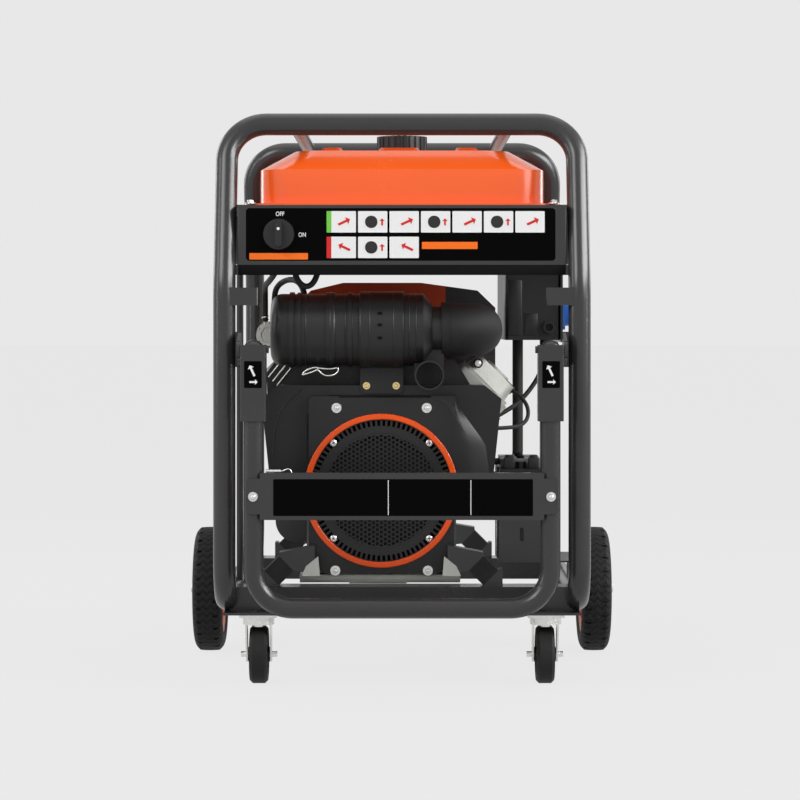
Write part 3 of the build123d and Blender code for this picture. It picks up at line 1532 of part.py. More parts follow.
# Round sockets with ears and hinge pins, and their lids
socket_r = socket_d / 2
socket_face = panel_face + socket_len
hinge_x = socket_face + lid_gap + lid_t / 2
hinge_z = socket_z + socket_r + lid_t
with BuildPart() as sockets:
    for y in socket_y:
        with BuildSketch(side_plane(panel_face)):
            with Locations((y, socket_z)):
                Circle(socket_r)
        extrude(amount=socket_len)
        with BuildSketch(side_plane(panel_face)):
            with Locations((y, socket_z)):
                RectangleRounded(socket_d + 2 * bezel_w, socket_d + 2 * bezel_w, socket_edge)
        extrude(amount=2 * lid_t)
        with BuildSketch(side_plane(socket_face - cup_depth)):
            with Locations((y, socket_z)):
                Circle(socket_r - cup_wall)
        extrude(amount=cup_depth, mode=Mode.SUBTRACT)
        for end in (-1, 1):
            ear_y = y + end * (knuckle_half + 0.5 + ear_t / 2)
            with Locations((socket_face - 5.0, ear_y, hinge_z - 6.0)):
                Box(10.0, ear_t, 22.0)
            with Locations((socket_face + lid_t / 2, ear_y, hinge_z + 0.5)):
                Box(lid_t + 4.0, ear_t, 9.0)
        with BuildSketch(Plane(origin=(hinge_x, y, hinge_z), x_dir=(1, 0, 0), z_dir=(0, 1, 0))):
            Circle(lid_pin_r)
        extrude(amount=knuckle_half + 1.0 + ear_t / 2, both=True)
save(sockets, "socket_outlets")

for y, name in zip(socket_y, ("front", "rear")):
    with BuildPart() as lid:
        with BuildSketch(side_plane(socket_face + lid_gap)):
            with Locations((y, socket_z)):
                Circle(socket_r)
            with Locations((y, (socket_z + hinge_z) / 2)):
                Rectangle(2 * knuckle_half, hinge_z - socket_z)
        extrude(amount=lid_t)
        with BuildSketch(Plane(origin=(hinge_x, y, hinge_z), x_dir=(1, 0, 0), z_dir=(0, 1, 0))):
            Circle(knuckle_r)
        extrude(amount=knuckle_half, both=True)
        with BuildSketch(Plane(origin=(hinge_x, y, hinge_z), x_dir=(1, 0, 0), z_dir=(0, 1, 0))):
            Circle(lid_pin_r + axle_play)
        extrude(amount=knuckle_half, both=True, mode=Mode.SUBTRACT)
    save(lid, f"socket_lid_{name}")

# Breaker lever and key
lever_r = 6.0
lever_gap = 0.3
with BuildPart() as lever:
    with BuildSketch(Plane(origin=(panel_face, breaker_y, breaker_z), x_dir=(1, 0, 0), z_dir=(0, 1, 0))):
        Circle(lever_r)
    extrude(amount=breaker_w / 2 - lever_gap, both=True)
    with Locations((panel_face + 10.0, breaker_y, breaker_z)):
        Box(16.0, breaker_w - 2 * lever_gap - 4.0, 5.0)
save(lever, "breaker_lever")

with BuildPart() as key:
    with BuildSketch(side_plane(box_right_x - 10.0)):
        with Locations((key_y, key_z)):
            Circle(key_stem_r)
    extrude(amount=panel_t + 14.0)
    with BuildSketch(side_plane(panel_face + 4.0)):
        with Locations((key_y, key_z)):
            SlotOverall(26.0, 5.0, rotation=90)
    extrude(amount=24.0)
save(key, "key_switch")

# Held leads: main cable to the alternator, starter cables from the battery, plug leads to both heads
cable_r = 10.0
cable_y = 60.0
cable_x = box_left_x + 33.0
lead_r = 3.5
plug_along = cylinder_end + head_len - 16.0
alt_side_x = engine_x + alt_r
with BuildPart() as main_cable:
    with BuildLine() as cable_line:
        FilletPolyline((cable_x, cable_y, box_bottom_z), (cable_x, cable_y, crank_z),
                       (alt_side_x - 4.0, cable_y, crank_z), radius=50.0)
    with BuildSketch(Plane(origin=cable_line.line @ 0, z_dir=cable_line.line % 0)):
        Circle(cable_r)
    sweep()
    add(housing.part, mode=Mode.SUBTRACT)

with BuildPart() as plug_leads:
    for side in (-1, 1):
        plane = bank_plane(side, plug_along)
        start = plane.origin + plane.x_dir * (-head_side / 2)
        front = start.Y - 26.0
        end_x = engine_x + side * (wing_x - 40.0)
        with BuildLine() as lead_line:
            FilletPolyline((start.X, start.Y, start.Z), (start.X, front, start.Z),
                           (start.X, front, start.Z - 70.0), (end_x, front, start.Z - 110.0), radius=18.0)
        with BuildSketch(Plane(origin=lead_line.line @ 0, z_dir=lead_line.line % 0)):
            Circle(lead_r)
        sweep()
    add(heads.part, mode=Mode.SUBTRACT)
    add(cylinders.part, mode=Mode.SUBTRACT)
    add(crankcase.part, mode=Mode.SUBTRACT)

cable_z = battery_top + 9.0
drop_x = engine_x + case_half_x + 33.0
drop_z = crank_z - 41.0
cable_run_y = (battery_mid_y - 22.0, battery_mid_y + 26.0)
with BuildPart() as battery_cables:
    for y, run_y, end in zip(post_y, cable_run_y, (1, -1)):
        with BuildLine() as battery_line:
            FilletPolyline((battery_mid_x, y + end * post_r, cable_z), (battery_mid_x, run_y, cable_z),
                           (drop_x, run_y, cable_z), (drop_x, run_y, drop_z),
                           (engine_x + case_half_x, run_y, drop_z), radius=14.0)
        with BuildSketch(Plane(origin=battery_line.line @ 0, z_dir=battery_line.line % 0)):
            Circle(lead_r * 1.3)
        sweep()
save_group((main_cable, plug_leads, battery_cables), "leads")
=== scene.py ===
"""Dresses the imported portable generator: finishes for the CAD nodes, fasteners, labels, hoses and studio."""

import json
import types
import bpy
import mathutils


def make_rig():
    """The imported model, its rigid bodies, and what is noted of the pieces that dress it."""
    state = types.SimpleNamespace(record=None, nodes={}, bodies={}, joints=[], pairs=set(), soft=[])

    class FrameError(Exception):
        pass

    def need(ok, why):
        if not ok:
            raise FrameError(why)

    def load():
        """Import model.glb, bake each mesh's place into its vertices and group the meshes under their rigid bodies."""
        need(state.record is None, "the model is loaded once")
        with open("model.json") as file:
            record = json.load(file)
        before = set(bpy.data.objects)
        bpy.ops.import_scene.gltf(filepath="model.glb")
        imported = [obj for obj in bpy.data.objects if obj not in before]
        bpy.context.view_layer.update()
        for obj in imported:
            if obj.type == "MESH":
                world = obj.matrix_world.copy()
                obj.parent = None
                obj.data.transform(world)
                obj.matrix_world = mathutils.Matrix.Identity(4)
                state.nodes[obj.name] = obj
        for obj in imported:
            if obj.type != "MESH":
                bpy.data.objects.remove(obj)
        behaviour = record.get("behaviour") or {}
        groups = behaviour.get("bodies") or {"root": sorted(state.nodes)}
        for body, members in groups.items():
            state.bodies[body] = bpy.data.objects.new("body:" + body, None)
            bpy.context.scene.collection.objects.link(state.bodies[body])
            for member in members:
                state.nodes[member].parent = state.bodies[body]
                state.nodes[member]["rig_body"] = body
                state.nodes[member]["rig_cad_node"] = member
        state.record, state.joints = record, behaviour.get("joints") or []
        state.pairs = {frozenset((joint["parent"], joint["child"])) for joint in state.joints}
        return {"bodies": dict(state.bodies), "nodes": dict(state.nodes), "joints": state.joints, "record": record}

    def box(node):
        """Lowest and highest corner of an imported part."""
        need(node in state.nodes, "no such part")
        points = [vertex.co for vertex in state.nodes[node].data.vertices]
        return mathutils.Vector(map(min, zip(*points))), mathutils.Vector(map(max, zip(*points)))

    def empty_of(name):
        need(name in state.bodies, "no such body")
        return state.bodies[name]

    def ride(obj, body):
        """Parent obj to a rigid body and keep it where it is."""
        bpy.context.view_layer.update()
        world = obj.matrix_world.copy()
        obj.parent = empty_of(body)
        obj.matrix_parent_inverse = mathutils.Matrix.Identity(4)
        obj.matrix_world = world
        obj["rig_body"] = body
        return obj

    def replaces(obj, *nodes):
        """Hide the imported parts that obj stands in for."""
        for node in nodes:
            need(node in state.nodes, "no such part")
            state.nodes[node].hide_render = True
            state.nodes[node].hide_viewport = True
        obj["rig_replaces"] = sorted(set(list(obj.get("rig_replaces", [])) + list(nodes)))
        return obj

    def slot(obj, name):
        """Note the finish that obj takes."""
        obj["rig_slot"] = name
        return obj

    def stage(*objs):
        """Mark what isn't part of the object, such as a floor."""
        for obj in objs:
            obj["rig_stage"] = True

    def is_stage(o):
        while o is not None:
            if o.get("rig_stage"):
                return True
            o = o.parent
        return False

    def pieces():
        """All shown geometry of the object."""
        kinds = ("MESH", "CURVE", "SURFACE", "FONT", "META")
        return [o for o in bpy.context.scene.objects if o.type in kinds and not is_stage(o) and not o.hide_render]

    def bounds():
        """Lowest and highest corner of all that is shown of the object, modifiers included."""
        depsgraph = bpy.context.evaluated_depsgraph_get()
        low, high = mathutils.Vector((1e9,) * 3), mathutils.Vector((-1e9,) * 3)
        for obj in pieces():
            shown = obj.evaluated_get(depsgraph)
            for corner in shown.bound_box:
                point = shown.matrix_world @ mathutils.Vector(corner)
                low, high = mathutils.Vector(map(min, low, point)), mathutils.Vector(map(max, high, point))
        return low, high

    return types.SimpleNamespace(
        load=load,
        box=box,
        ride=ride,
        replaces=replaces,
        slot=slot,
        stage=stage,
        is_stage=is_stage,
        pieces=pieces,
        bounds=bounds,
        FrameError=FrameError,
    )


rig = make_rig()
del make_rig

bl_info = {
    "name": "Portable Generator",
    "version": (1, 0, 0),
    "blender": (4, 5, 0),
    "location": "View3D > Sidebar > Generator",
    "description": "Finishes, fasteners, labels and small pieces for a tube-frame portable generator",
    "category": "Object",
}

import json
import math
import sys
from contextlib import contextmanager

import bmesh
import bpy
from bpy.props import FloatProperty, FloatVectorProperty, IntProperty, PointerProperty
from bpy.types import Operator, Panel, PropertyGroup
from mathutils import Matrix, Vector

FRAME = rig.load()
CAD_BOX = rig.bounds()
NODES = FRAME["nodes"]
SUBPARTS = FRAME["record"]["subparts"]
RECORD_SLOTS = {part["material_slot"] for part in SUBPARTS}
SIZE_FILE = "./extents.json"
FINISHES = {}
# The flywheel fan and the engine cover take finishes of their own, darker than their slots' finishes: painted shade.
OWN_FINISH = {"flywheel_fan": "shaded_iron", "engine_cover": "cover_two_tone"}
FRONT, BACK, RIGHT, UP = (0.0, -1.0, 0.0), (0.0, 1.0, 0.0), (1.0, 0.0, 0.0), (0.0, 0.0, 1.0)

# How deep a fastener or a label is bedded in the face that carries it
BEDDED = 0.0002

# Thickness of one printed layer
LAYER = 0.0004


class Value:
    """One node socket. Sums and comparisons of values add their Math nodes."""

    def __init__(self, graph, socket):
        self.graph = graph
        self.socket = socket

    def __add__(self, other):
        return self.graph.maths("ADD", self, other)

    def __sub__(self, other):
        return self.graph.maths("SUBTRACT", self, other)

    def __rsub__(self, other):
        return self.graph.maths("SUBTRACT", other, self)

    def __mul__(self, other):
        return self.graph.maths("MULTIPLY", self, other)

    def __gt__(self, other):
        return self.graph.maths("GREATER_THAN", self, other)

    __radd__ = __add__
    __rmul__ = __mul__

    def out(self, name):
        """Another output of the same node."""
        return Value(self.graph, self.socket.node.outputs[name])


class Graph:
    """Adds nodes to one shader or geometry tree."""

    def __init__(self, tree):
        self.tree = tree

    def add(self, kind, settings=None, inputs=(), output=0):
        """A node of that kind: its settings are set first, then its sockets by name or place."""
        node = self.tree.nodes.new(kind)
        for key, value in (settings or {}).items():
            if key == "stops":
                ramp = node.color_ramp
                while len(ramp.elements) < len(value):
                    ramp.elements.new(0.5)
                for element, (place, colour) in zip(ramp.elements, value):
                    element.position = place
                    element.color = colour
            else:
                setattr(node, key, value)
        pairs = inputs.items() if isinstance(inputs, dict) else enumerate(inputs)
        for key, value in pairs:
            if isinstance(value, Value):
                self.tree.links.new(value.socket, node.inputs[key])
            else:
                node.inputs[key].default_value = value
        return Value(self, node.outputs[output]) if node.outputs else None

    def maths(self, operation, *values):
        """A Math node."""
        return self.add("ShaderNodeMath", {"operation": operation}, values)

    def mix(self, factor, a, b):
        """Colour a where factor is 0 and colour b where it is 1."""
        return self.add("ShaderNodeMix", {"data_type": "RGBA"}, {0: factor, 6: a, 7: b}, output=2)

    def shades(self, factor, colour, low, high):
        """From one shade of a colour to another."""
        return self.mix(factor, rgba(colour, low), rgba(colour, high))

    def place(self, scale=(1.0, 1.0, 1.0), location=(0.0, 0.0, 0.0)):
        """Object coordinates, moved and scaled."""
        at = self.add("ShaderNodeTexCoord", output="Object")
        return self.add("ShaderNodeMapping", {}, {"Vector": at, "Scale": scale, "Location": location})

    def noise(self, scale, detail=2.0, at=None):
        """Noise from 0 to 1 with cells of about 1 / scale metres."""
        inputs = {"Vector": at or self.place(), "Scale": scale, "Detail": detail}
        return self.add("ShaderNodeTexNoise", {}, inputs)

    def wave(self, direction, scale, distortion=0.0):
        """Close bands from 0 to 1 across a direction."""
        inputs = {"Vector": self.place(), "Scale": scale, "Distortion": distortion}
        return self.add("ShaderNodeTexWave", {"bands_direction": direction}, inputs, output="Fac")

    def ramp(self, value, low, high):
        """0 below low, 1 above high."""
        inputs = {"Value": value, "From Min": low, "From Max": high}
        return self.add("ShaderNodeMapRange", {"clamp": True}, inputs)

    def bump(self, height, strength, distance=0.001):
        """A bump of that height for a shader's Normal."""
        inputs = {"Height": height, "Strength": strength, "Distance": distance}
        return self.add("ShaderNodeBump", {}, inputs)

    def seen(self):
        """1 for what the camera sees straight, mirrored or through glass, 0 for light."""
        path = self.add("ShaderNodeLightPath", output="Is Camera Ray")
        return path + path.out("Is Glossy Ray") + path.out("Is Transmission Ray") > 0.5


class Finish(Graph):
    """The graph of a new material, which is kept in FINISHES."""

    def __init__(self, name):
        FINISHES[name] = bpy.data.materials.new(name)
        FINISHES[name].use_nodes = True
        super().__init__(FINISHES[name].node_tree)
        self.tree.nodes.clear()

    def close(self, **sockets):
        """Ends in one Principled shader; underscores stand for the spaces in socket names."""
        inputs = {key.replace("_", " "): value for key, value in sockets.items()}
        shader = self.add("ShaderNodeBsdfPrincipled", {}, inputs)
        self.add("ShaderNodeOutputMaterial", {}, {"Surface": shader})


def rgba(colour, factor=1.0):
    """A colour with its alpha, lightened or darkened by a factor."""
    return tuple(min(1.0, c * factor) for c in colour[:3]) + (1.0,)


def grey(tone):
    """A plain grey with its alpha."""
    return (tone, tone, tone, 1.0)


def coated_finish(name, colour, rough, grain_size, grain, coat=0.0, metal=0.0, cloud=0.12, shine=0.3):
    """Paint, powder coat and moulded plastic: faint clouds of tone and gloss over a fine grain."""
    g = Finish(name)
    clouds = g.noise(7.0, 4.0)
    specks = g.noise(1.0 / grain_size)
    tone = g.shades(clouds, colour, 1.0 - cloud, 1.0 + cloud)
    g.close(
        Base_Color=g.mix(g.ramp(specks, 0.55, 0.75) * 0.25, tone, rgba(colour, 1.5)),
        Roughness=rough + (clouds - 0.5) * 0.14 + (specks - 0.5) * 0.06,
        Metallic=metal,
        Specular_IOR_Level=shine,
        Coat_Weight=coat,
        Coat_Roughness=0.06,
        Normal=g.bump(specks, grain),
    )


def two_tone(name, colour, dark, edge):
    """A moulded cover whose end beyond X = edge is a dark separate moulding."""
    g = Finish(name)
    clouds = g.noise(9.0, 3.0)
    across = g.add("ShaderNodeSeparateXYZ", {}, [g.place()], output="X")
    g.close(
        Base_Color=g.mix(across > edge, g.shades(clouds * 0.3, colour, 1.0, 0.7), dark),
        Roughness=0.40 + (clouds - 0.5) * 0.12,
        Specular_IOR_Level=0.3,
        Normal=g.bump(g.noise(1400.0), 0.06),
    )


def tread_rubber(name, colour, axle):
    """Tyre rubber: wavy cross cuts on the tread round the axle, plain dusty side walls."""
    cuts_round, waves_across, wave_depth = 52.0, 420.0, 1.3
    g = Finish(name)
    centre = g.place(location=(0.0, -axle[1], -axle[2]))
    at = g.add("ShaderNodeSeparateXYZ", {}, [centre], output="X")
    y, z = at.out("Y"), at.out("Z")
    turn = g.maths("ARCTAN2", z, y)
    reach = g.maths("SQRT", y * y + z * z)
    wave = g.maths("SINE", at * waves_across)
    cuts = g.ramp(g.maths("SINE", turn * cuts_round + wave * wave_depth), -0.55, -0.05)
    tread = g.ramp(reach, 0.1085, 0.1105)
    dust = g.noise(26.0, 4.0)
    worn = g.shades(dust * 0.5, colour, 0.85, 1.7)
    g.close(
        Base_Color=g.mix(tread * (1.0 - cuts), worn, rgba(colour, 0.25)),
        Roughness=0.70 + (dust - 0.5) * 0.2,
        Specular_IOR_Level=0.22,
        Normal=g.bump(cuts * tread + g.noise(2200.0) * 0.06, 0.7, 0.0025),
    )


def gloss_enamel(name, colour):
    """Wet-looking tank enamel with slight orange peel and faint settling dust."""
    g = Finish(name)
    clouds = g.noise(5.0, 3.0)
    dust = g.ramp(g.noise(1900.0), 0.68, 0.8)
    g.close(
        Base_Color=g.mix(dust * 0.1, g.shades(clouds, colour, 0.95, 1.05), (0.9, 0.6, 0.45, 1.0)),
        Roughness=0.26 + (clouds - 0.5) * 0.1 + dust * 0.1,
        Coat_Weight=0.55,
        Coat_Roughness=0.08,
        Normal=g.bump(g.noise(260.0, 1.0), 0.06),
    )


def cast_metal(name, colour, rough):
    """Sand-cast alloy: pitted skin, lighter on the high grain."""
    g = Finish(name)
    skin = g.noise(420.0, 5.0)
    pits = g.ramp(g.noise(900.0), 0.62, 0.72)
    tone = g.shades(g.noise(14.0, 3.0), colour, 0.82, 1.12)
    g.close(
        Base_Color=g.mix(pits * 0.5, tone, rgba(colour, 0.5)),
        Metallic=0.9 - pits * 0.3,
        Roughness=rough + (skin - 0.5) * 0.25,
        Normal=g.bump(skin - pits * 0.6, 0.35),
    )


def plated_steel(name, colour, rough):
    """Zinc plate: faint spangle and cloudy gloss."""
    g = Finish(name)
    cells = g.add("ShaderNodeTexVoronoi", {}, {"Vector": g.place(), "Scale": 340.0}, output="Color")
    spangle = g.add("ShaderNodeRGBToBW", {}, [cells])
    clouds = g.noise(24.0, 4.0)
    g.close(
        Base_Color=g.shades(spangle, colour, 0.86, 1.08),
        Metallic=1.0,
        Roughness=rough + (spangle - 0.5) * 0.12 + (clouds - 0.5) * 0.16,
        Normal=g.bump(g.noise(1600.0), 0.08),
    )


def turned_steel(name, colour, rough):
    """Turned or drawn steel with fine lines round the Y axis."""
    g = Finish(name)
    lines = g.noise(1.0, 3.0, at=g.place((30.0, 1400.0, 30.0)))
    clouds = g.noise(18.0, 3.0)
    g.close(
        Base_Color=g.shades(lines, colour, 0.8, 1.15),
        Metallic=0.95,
        Roughness=rough + (lines - 0.5) * 0.2 + (clouds - 0.5) * 0.12,
        Normal=g.bump(lines, 0.12),
    )


def heat_tinted_steel(name):
    """Exhaust steel with straw and blue heat bands and a sooty skin."""
    g = Finish(name)
    bands = [
        (0.3, (0.31, 0.30, 0.28, 1.0)),
        (0.45, (0.37, 0.33, 0.26, 1.0)),
        (0.56, (0.34, 0.28, 0.23, 1.0)),
        (0.66, (0.27, 0.27, 0.29, 1.0)),
    ]
    soot = g.ramp(g.noise(60.0, 5.0), 0.45, 0.75)
    tint = g.add("ShaderNodeValToRGB", {"stops": bands}, [g.noise(9.0, 4.0)])
    g.close(
        Base_Color=g.mix(soot * 0.35, tint, (0.10, 0.09, 0.08, 1.0)),
        Metallic=0.9 - soot * 0.4,
        Roughness=0.36 + soot * 0.3,
        Normal=g.bump(g.noise(700.0, 3.0), 0.15),
    )


def rubber(name, colour, rough):
    """Vulcanised rubber: matt, mottled, faintly bloomed."""
    g = Finish(name)
    bloom = g.noise(22.0, 5.0)
    grit = g.noise(800.0, 3.0)
    g.close(
        Base_Color=g.shades(g.ramp(bloom, 0.4, 0.8) * 0.6, colour, 1.0, 2.0),
        Roughness=rough + (bloom - 0.5) * 0.16 + (grit - 0.5) * 0.1,
        Specular_IOR_Level=0.22,
        Normal=g.bump(grit, 0.25),
    )


def wound_copper(name):
    """Enamelled copper wire laid side by side, darker between the wires as painted shade."""
    g = Finish(name)
    # The bands run from dark copper in the grooves between wires to light copper on their tops: painted shade.
    wires = g.wave("Y", 180.0, 1.5)
    g.close(
        Base_Color=g.mix(wires, (0.20, 0.07, 0.025, 1.0), (0.62, 0.25, 0.10, 1.0)),
        Metallic=0.85,
        Roughness=0.42 - wires * 0.12,
        Normal=g.bump(wires, 0.5),
    )


def pleated_paper(name):
    """Cream filter paper with close pleats and fibres, each pleat darker in its fold as painted shade."""
    g = Finish(name)
    # The dark side of each pleat band is painted shade in the folds.
    pleats = g.wave("X", 120.0)
    fibres = g.noise(900.0, 4.0)
    g.close(
        Base_Color=g.mix(pleats, (0.45, 0.36, 0.22, 1.0), (0.78, 0.68, 0.50, 1.0)),
        Roughness=0.85 - fibres * 0.1,
        Normal=g.bump(pleats + fibres * 0.3, 0.4),
    )


class GeneratorFinishes(PropertyGroup):
    """Colours of the paints and plastics."""

    tank_orange: FloatVectorProperty(
        name="Tank orange", description="Enamel of the tank",
        subtype="COLOR", min=0.0, max=1.0, default=(1.0, 0.118, 0.007),
    )
    trim_orange: FloatVectorProperty(
        name="Trim orange", description="Grille ring, hubs and engine cover",
        subtype="COLOR", min=0.0, max=1.0, default=(1.0, 0.098, 0.007),
    )
    frame_charcoal: FloatVectorProperty(
        name="Frame charcoal", description="Powder coat of the tubes",
        subtype="COLOR", min=0.0, max=1.0, default=(0.031, 0.031, 0.032),
    )
    moulded_black: FloatVectorProperty(
        name="Moulded black", description="Blower housing and air cleaner",
        subtype="COLOR", min=0.0, max=1.0, default=(0.014, 0.014, 0.0145),
    )


class GeneratorSizes(PropertyGroup):
    """Sizes of the added pieces."""

    screen_pitch: FloatProperty(
        name="Screen pitch", description="Hole to hole on the fan screen", unit="LENGTH", default=0.0080
    )
    screen_web: FloatProperty(
        name="Screen web", description="Hole size as part of the pitch", subtype="FACTOR", default=0.72
    )
    screen_slots: IntProperty(
        name="Screen slots", description="Slots round the screen's rim", default=84
    )
    hose_width: FloatProperty(
        name="Hose width", description="Outer width of the fuel hoses", unit="LENGTH", default=0.0105
    )
    flange_head: FloatProperty(
        name="Flange bolt", description="Width across the blower bolts' heads", unit="LENGTH", default=0.010
    )


def make_finishes():
    """One finish for each slot of the record, and the ones only small pieces use."""
    look = bpy.context.scene.generator_finishes
    coated_finish("frame_paint", look.frame_charcoal, 0.25, 0.0011, 0.04, shine=0.42)
    gloss_enamel("orange_paint", look.tank_orange)
    coated_finish("black_plastic", look.moulded_black, 0.38, 0.0006, 0.10, cloud=0.08, shine=0.34)
    rubber("black_rubber", grey(0.012), 0.62)
    tread_rubber("tyre_rubber", grey(0.010), centre("rear_axle"))
    coated_finish("orange_plastic", look.trim_orange, 0.34, 0.0008, 0.05, coat=0.15, cloud=0.05)
    cast_metal("cast_alloy", (0.50, 0.50, 0.47), 0.46)
    plated_steel("zinc_steel", (0.74, 0.74, 0.72), 0.30)
    coated_finish("dark_steel", (0.060, 0.060, 0.062), 0.42, 0.0009, 0.2, metal=0.7)
    turned_steel("bare_steel", (0.60, 0.60, 0.59), 0.30)
    heat_tinted_steel("heat_steel")
    wound_copper("copper_winding")
    coated_finish("blue_plastic", (0.015, 0.13, 0.48), 0.36, 0.0008, 0.06, coat=0.1)
    pleated_paper("filter_paper")
    coated_finish("battery_case", (0.018, 0.018, 0.020), 0.38, 0.0010, 0.1)
    plated_steel("yellow_zinc", (0.80, 0.62, 0.30), 0.30)
    coated_finish("label_black", grey(0.002), 0.30, 0.0030, 0.02, shine=0.02)
    for name, colour, cloud in (
        ("label_white", grey(0.82), 0.03),
        ("label_orange", (0.92, 0.16, 0.01), 0.04),
        ("label_green", (0.16, 0.55, 0.06), 0.04),
        ("label_red", (0.62, 0.02, 0.02), 0.04),
    ):
        coated_finish(name, colour, 0.30, 0.0020, 0.02, cloud=cloud)
    coated_finish("lid_grey", grey(0.16), 0.42, 0.0010, 0.1)
    coated_finish("meter_glass", (0.010, 0.022, 0.018), 0.08, 0.0040, 0.01, coat=0.6, shine=0.5)
    dark_end = 0.0785
    # The cover's orange, at a third of the trim orange, is painted shade under the tank; its black end is a separate
    # moulding.
    two_tone("cover_two_tone", rgba(look.trim_orange, 0.34), rgba(look.moulded_black), dark_end)
    # Near-black grey: on the flywheel fan and the debris screen it is painted shade behind the fan screen; on the
    # fascia it is the signs' print.
    coated_finish("shaded_iron", grey(0.022), 0.55, 0.0012, 0.2, shine=0.2)
    # Near-black with almost no gloss, for screw slots, the head bolt's disc, the screen's backing ring, the cleaner's
    # marks, the battery vents and the strip under the fascia: painted shade in recesses and gaps.
    coated_finish("recess_black", grey(0.005), 0.60, 0.0010, 0.1, shine=0.05)


def centre(node):
    """The middle of a node's box."""
    return [(a + b) / 2 for a, b in zip(*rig.box(node))]


def spread(count, start=0.0):
    """Cosine and sine of turns spread evenly over a circle from a start in degrees."""
    turns = [math.radians(start) + 2.0 * math.pi * i / count for i in range(count)]
    return [(math.cos(a), math.sin(a)) for a in turns]


def new_object(name, data):
    """A new object of that data, linked to the scene."""
    item = bpy.data.objects.new(name, data)
    bpy.context.scene.collection.objects.link(item)
    return item


def assign(item, **values):
    """Sets several values of one item."""
    for key, value in values.items():
        setattr(item, key, value)


def add_piece(name, mesh, finish=None, slot=None, body="frame", smooth=35.0):
    """Links a mesh at the origin; it rides on its body and takes its finish's slot, or another."""
    piece = new_object(name, mesh)
    if finish:
        mesh.materials.clear()
        mesh.materials.append(FINISHES[finish])
    if smooth:
        mesh.shade_smooth()
        mesh.set_sharp_from_angle(angle=math.radians(smooth))
    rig.ride(piece, body)
    if not slot and finish in RECORD_SLOTS:
        slot = finish
    if slot:
        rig.slot(piece, slot)
    return piece


@contextmanager
def solid(name, finish, slot=None, body="frame", smooth=35.0):
    """A bmesh to fill, which becomes a piece with its doubles merged and its faces outwards."""
    bm = bmesh.new()
    yield bm
    bmesh.ops.remove_doubles(bm, verts=bm.verts, dist=1e-6)
    bmesh.ops.recalc_face_normals(bm, faces=bm.faces)
    mesh = bpy.data.meshes.new(name)
    bm.to_mesh(mesh)
    bm.free()
    add_piece(name, mesh, finish, slot, body, smooth)


def add_block(bm, low, high, edge=0.0):
    """A box between two corners, its edges bevelled by edge."""
    size = [b - a for a, b in zip(low, high)]
    middle = [(a + b) / 2 for a, b in zip(low, high)]
    matrix = Matrix.Translation(middle) @ Matrix.Diagonal(size + [1.0])
    new = bmesh.ops.create_cube(bm, size=1.0, matrix=matrix)["verts"]
    if edge:
        edges = list({e for v in new for e in v.link_edges})
        bmesh.ops.bevel(bm, geom=edges, offset=edge, segments=2, affect="EDGES", profile=0.5)


def add_skin(bm, rows):
    """Faces from each row of points to the next."""
    loops = [[bm.verts.new(at) for at in row] for row in rows]
    for a, b in zip(loops, loops[1:]):
        for i in range(len(a)):
            j = (i + 1) % len(a)
            bm.faces.new((a[i], a[j], b[j], b[i]))
    return loops


def add_slab(bm, rows):
    """A closed skin over rows of points that all have the same count."""
    loops = add_skin(bm, rows)
    bm.faces.new(loops[0])
    bm.faces.new(loops[-1][::-1])


def add_plate(bm, outline, front, back):
    """A flat plate of that X and Z outline between two Y places."""
    add_slab(bm, [[(x, y, z) for x, z in outline] for y in (front, back)])


def add_plates(name, outlines, front, back, finish, body="frame"):
    """One piece of several flat plates."""
    with solid(name, finish, body=body, smooth=0.0) as bm:
        for outline in outlines:
            add_plate(bm, outline, front, back)


def add_ring(bm, middle, axis, inner, outer, thick, sides=96):
    """A flat ring of rectangular section; inner 0 makes a disc."""
    turn = Vector(UP).rotation_difference(Vector(axis)).to_matrix().to_4x4()
    place = Matrix.Translation(middle) @ turn
    half = thick / 2
    corners = ((inner, -half), (outer, -half), (outer, half), (inner, half), (inner, -half))
    add_skin(bm, [[place @ Vector((r * c, r * s, z)) for c, s in spread(sides)] for r, z in corners])


def add_hoop(bm, x, y, z, radius, wide, proud, sides=72, steps=6):
    """A rounded hoop about an axis along X, standing proud of a round body."""
    sunk = 0.001
    turns = [math.pi * i / steps for i in range(steps + 1)]
    rows = [(x - wide / 2 * math.cos(a), radius + proud * math.sin(a)) for a in turns]
    rows = rows + [(x, radius - sunk)] + rows[:1]
    add_skin(bm, [[(at, y + out * c, z + out * s) for c, s in spread(sides)] for at, out in rows])


def rounded(low_x, low_z, high_x, high_z, corner, steps=5):
    """Outline of a rectangle with round corners, as X and Z pairs."""
    outline = []
    left, right, base, top = low_x + corner, high_x - corner, low_z + corner, high_z - corner
    for turn, (x, z) in enumerate(((right, top), (left, top), (left, base), (right, base))):
        for i in range(steps + 1):
            a = math.radians(90.0 * turn + 90.0 * i / steps)
            outline.append((x + corner * math.cos(a), z + corner * math.sin(a)))
    return outline


def arrow(x, z, length, thick, angle):
    """Outline of a plain arrow whose middle is at x, z."""
    half, side, head = length / 2, thick / 2, thick * 1.5
    neck = half - head
    points = [(-half, -side), (neck, -side), (neck, -head), (half, 0.0)]
    points += [(x, -z) for x, z in points[2::-1]]
    c, s = math.cos(math.radians(angle)), math.sin(math.radians(angle))
    return [(x + c * a - s * b, z + s * a + c * b) for a, b in points]


def mesh_of(curve):
    """A curve as a plain mesh; the curve itself is removed."""
    holder = new_object(curve.name, curve)
    mesh = bpy.data.meshes.new_from_object(holder)
    bpy.data.objects.remove(holder)
    bpy.data.curves.remove(curve)
    return mesh


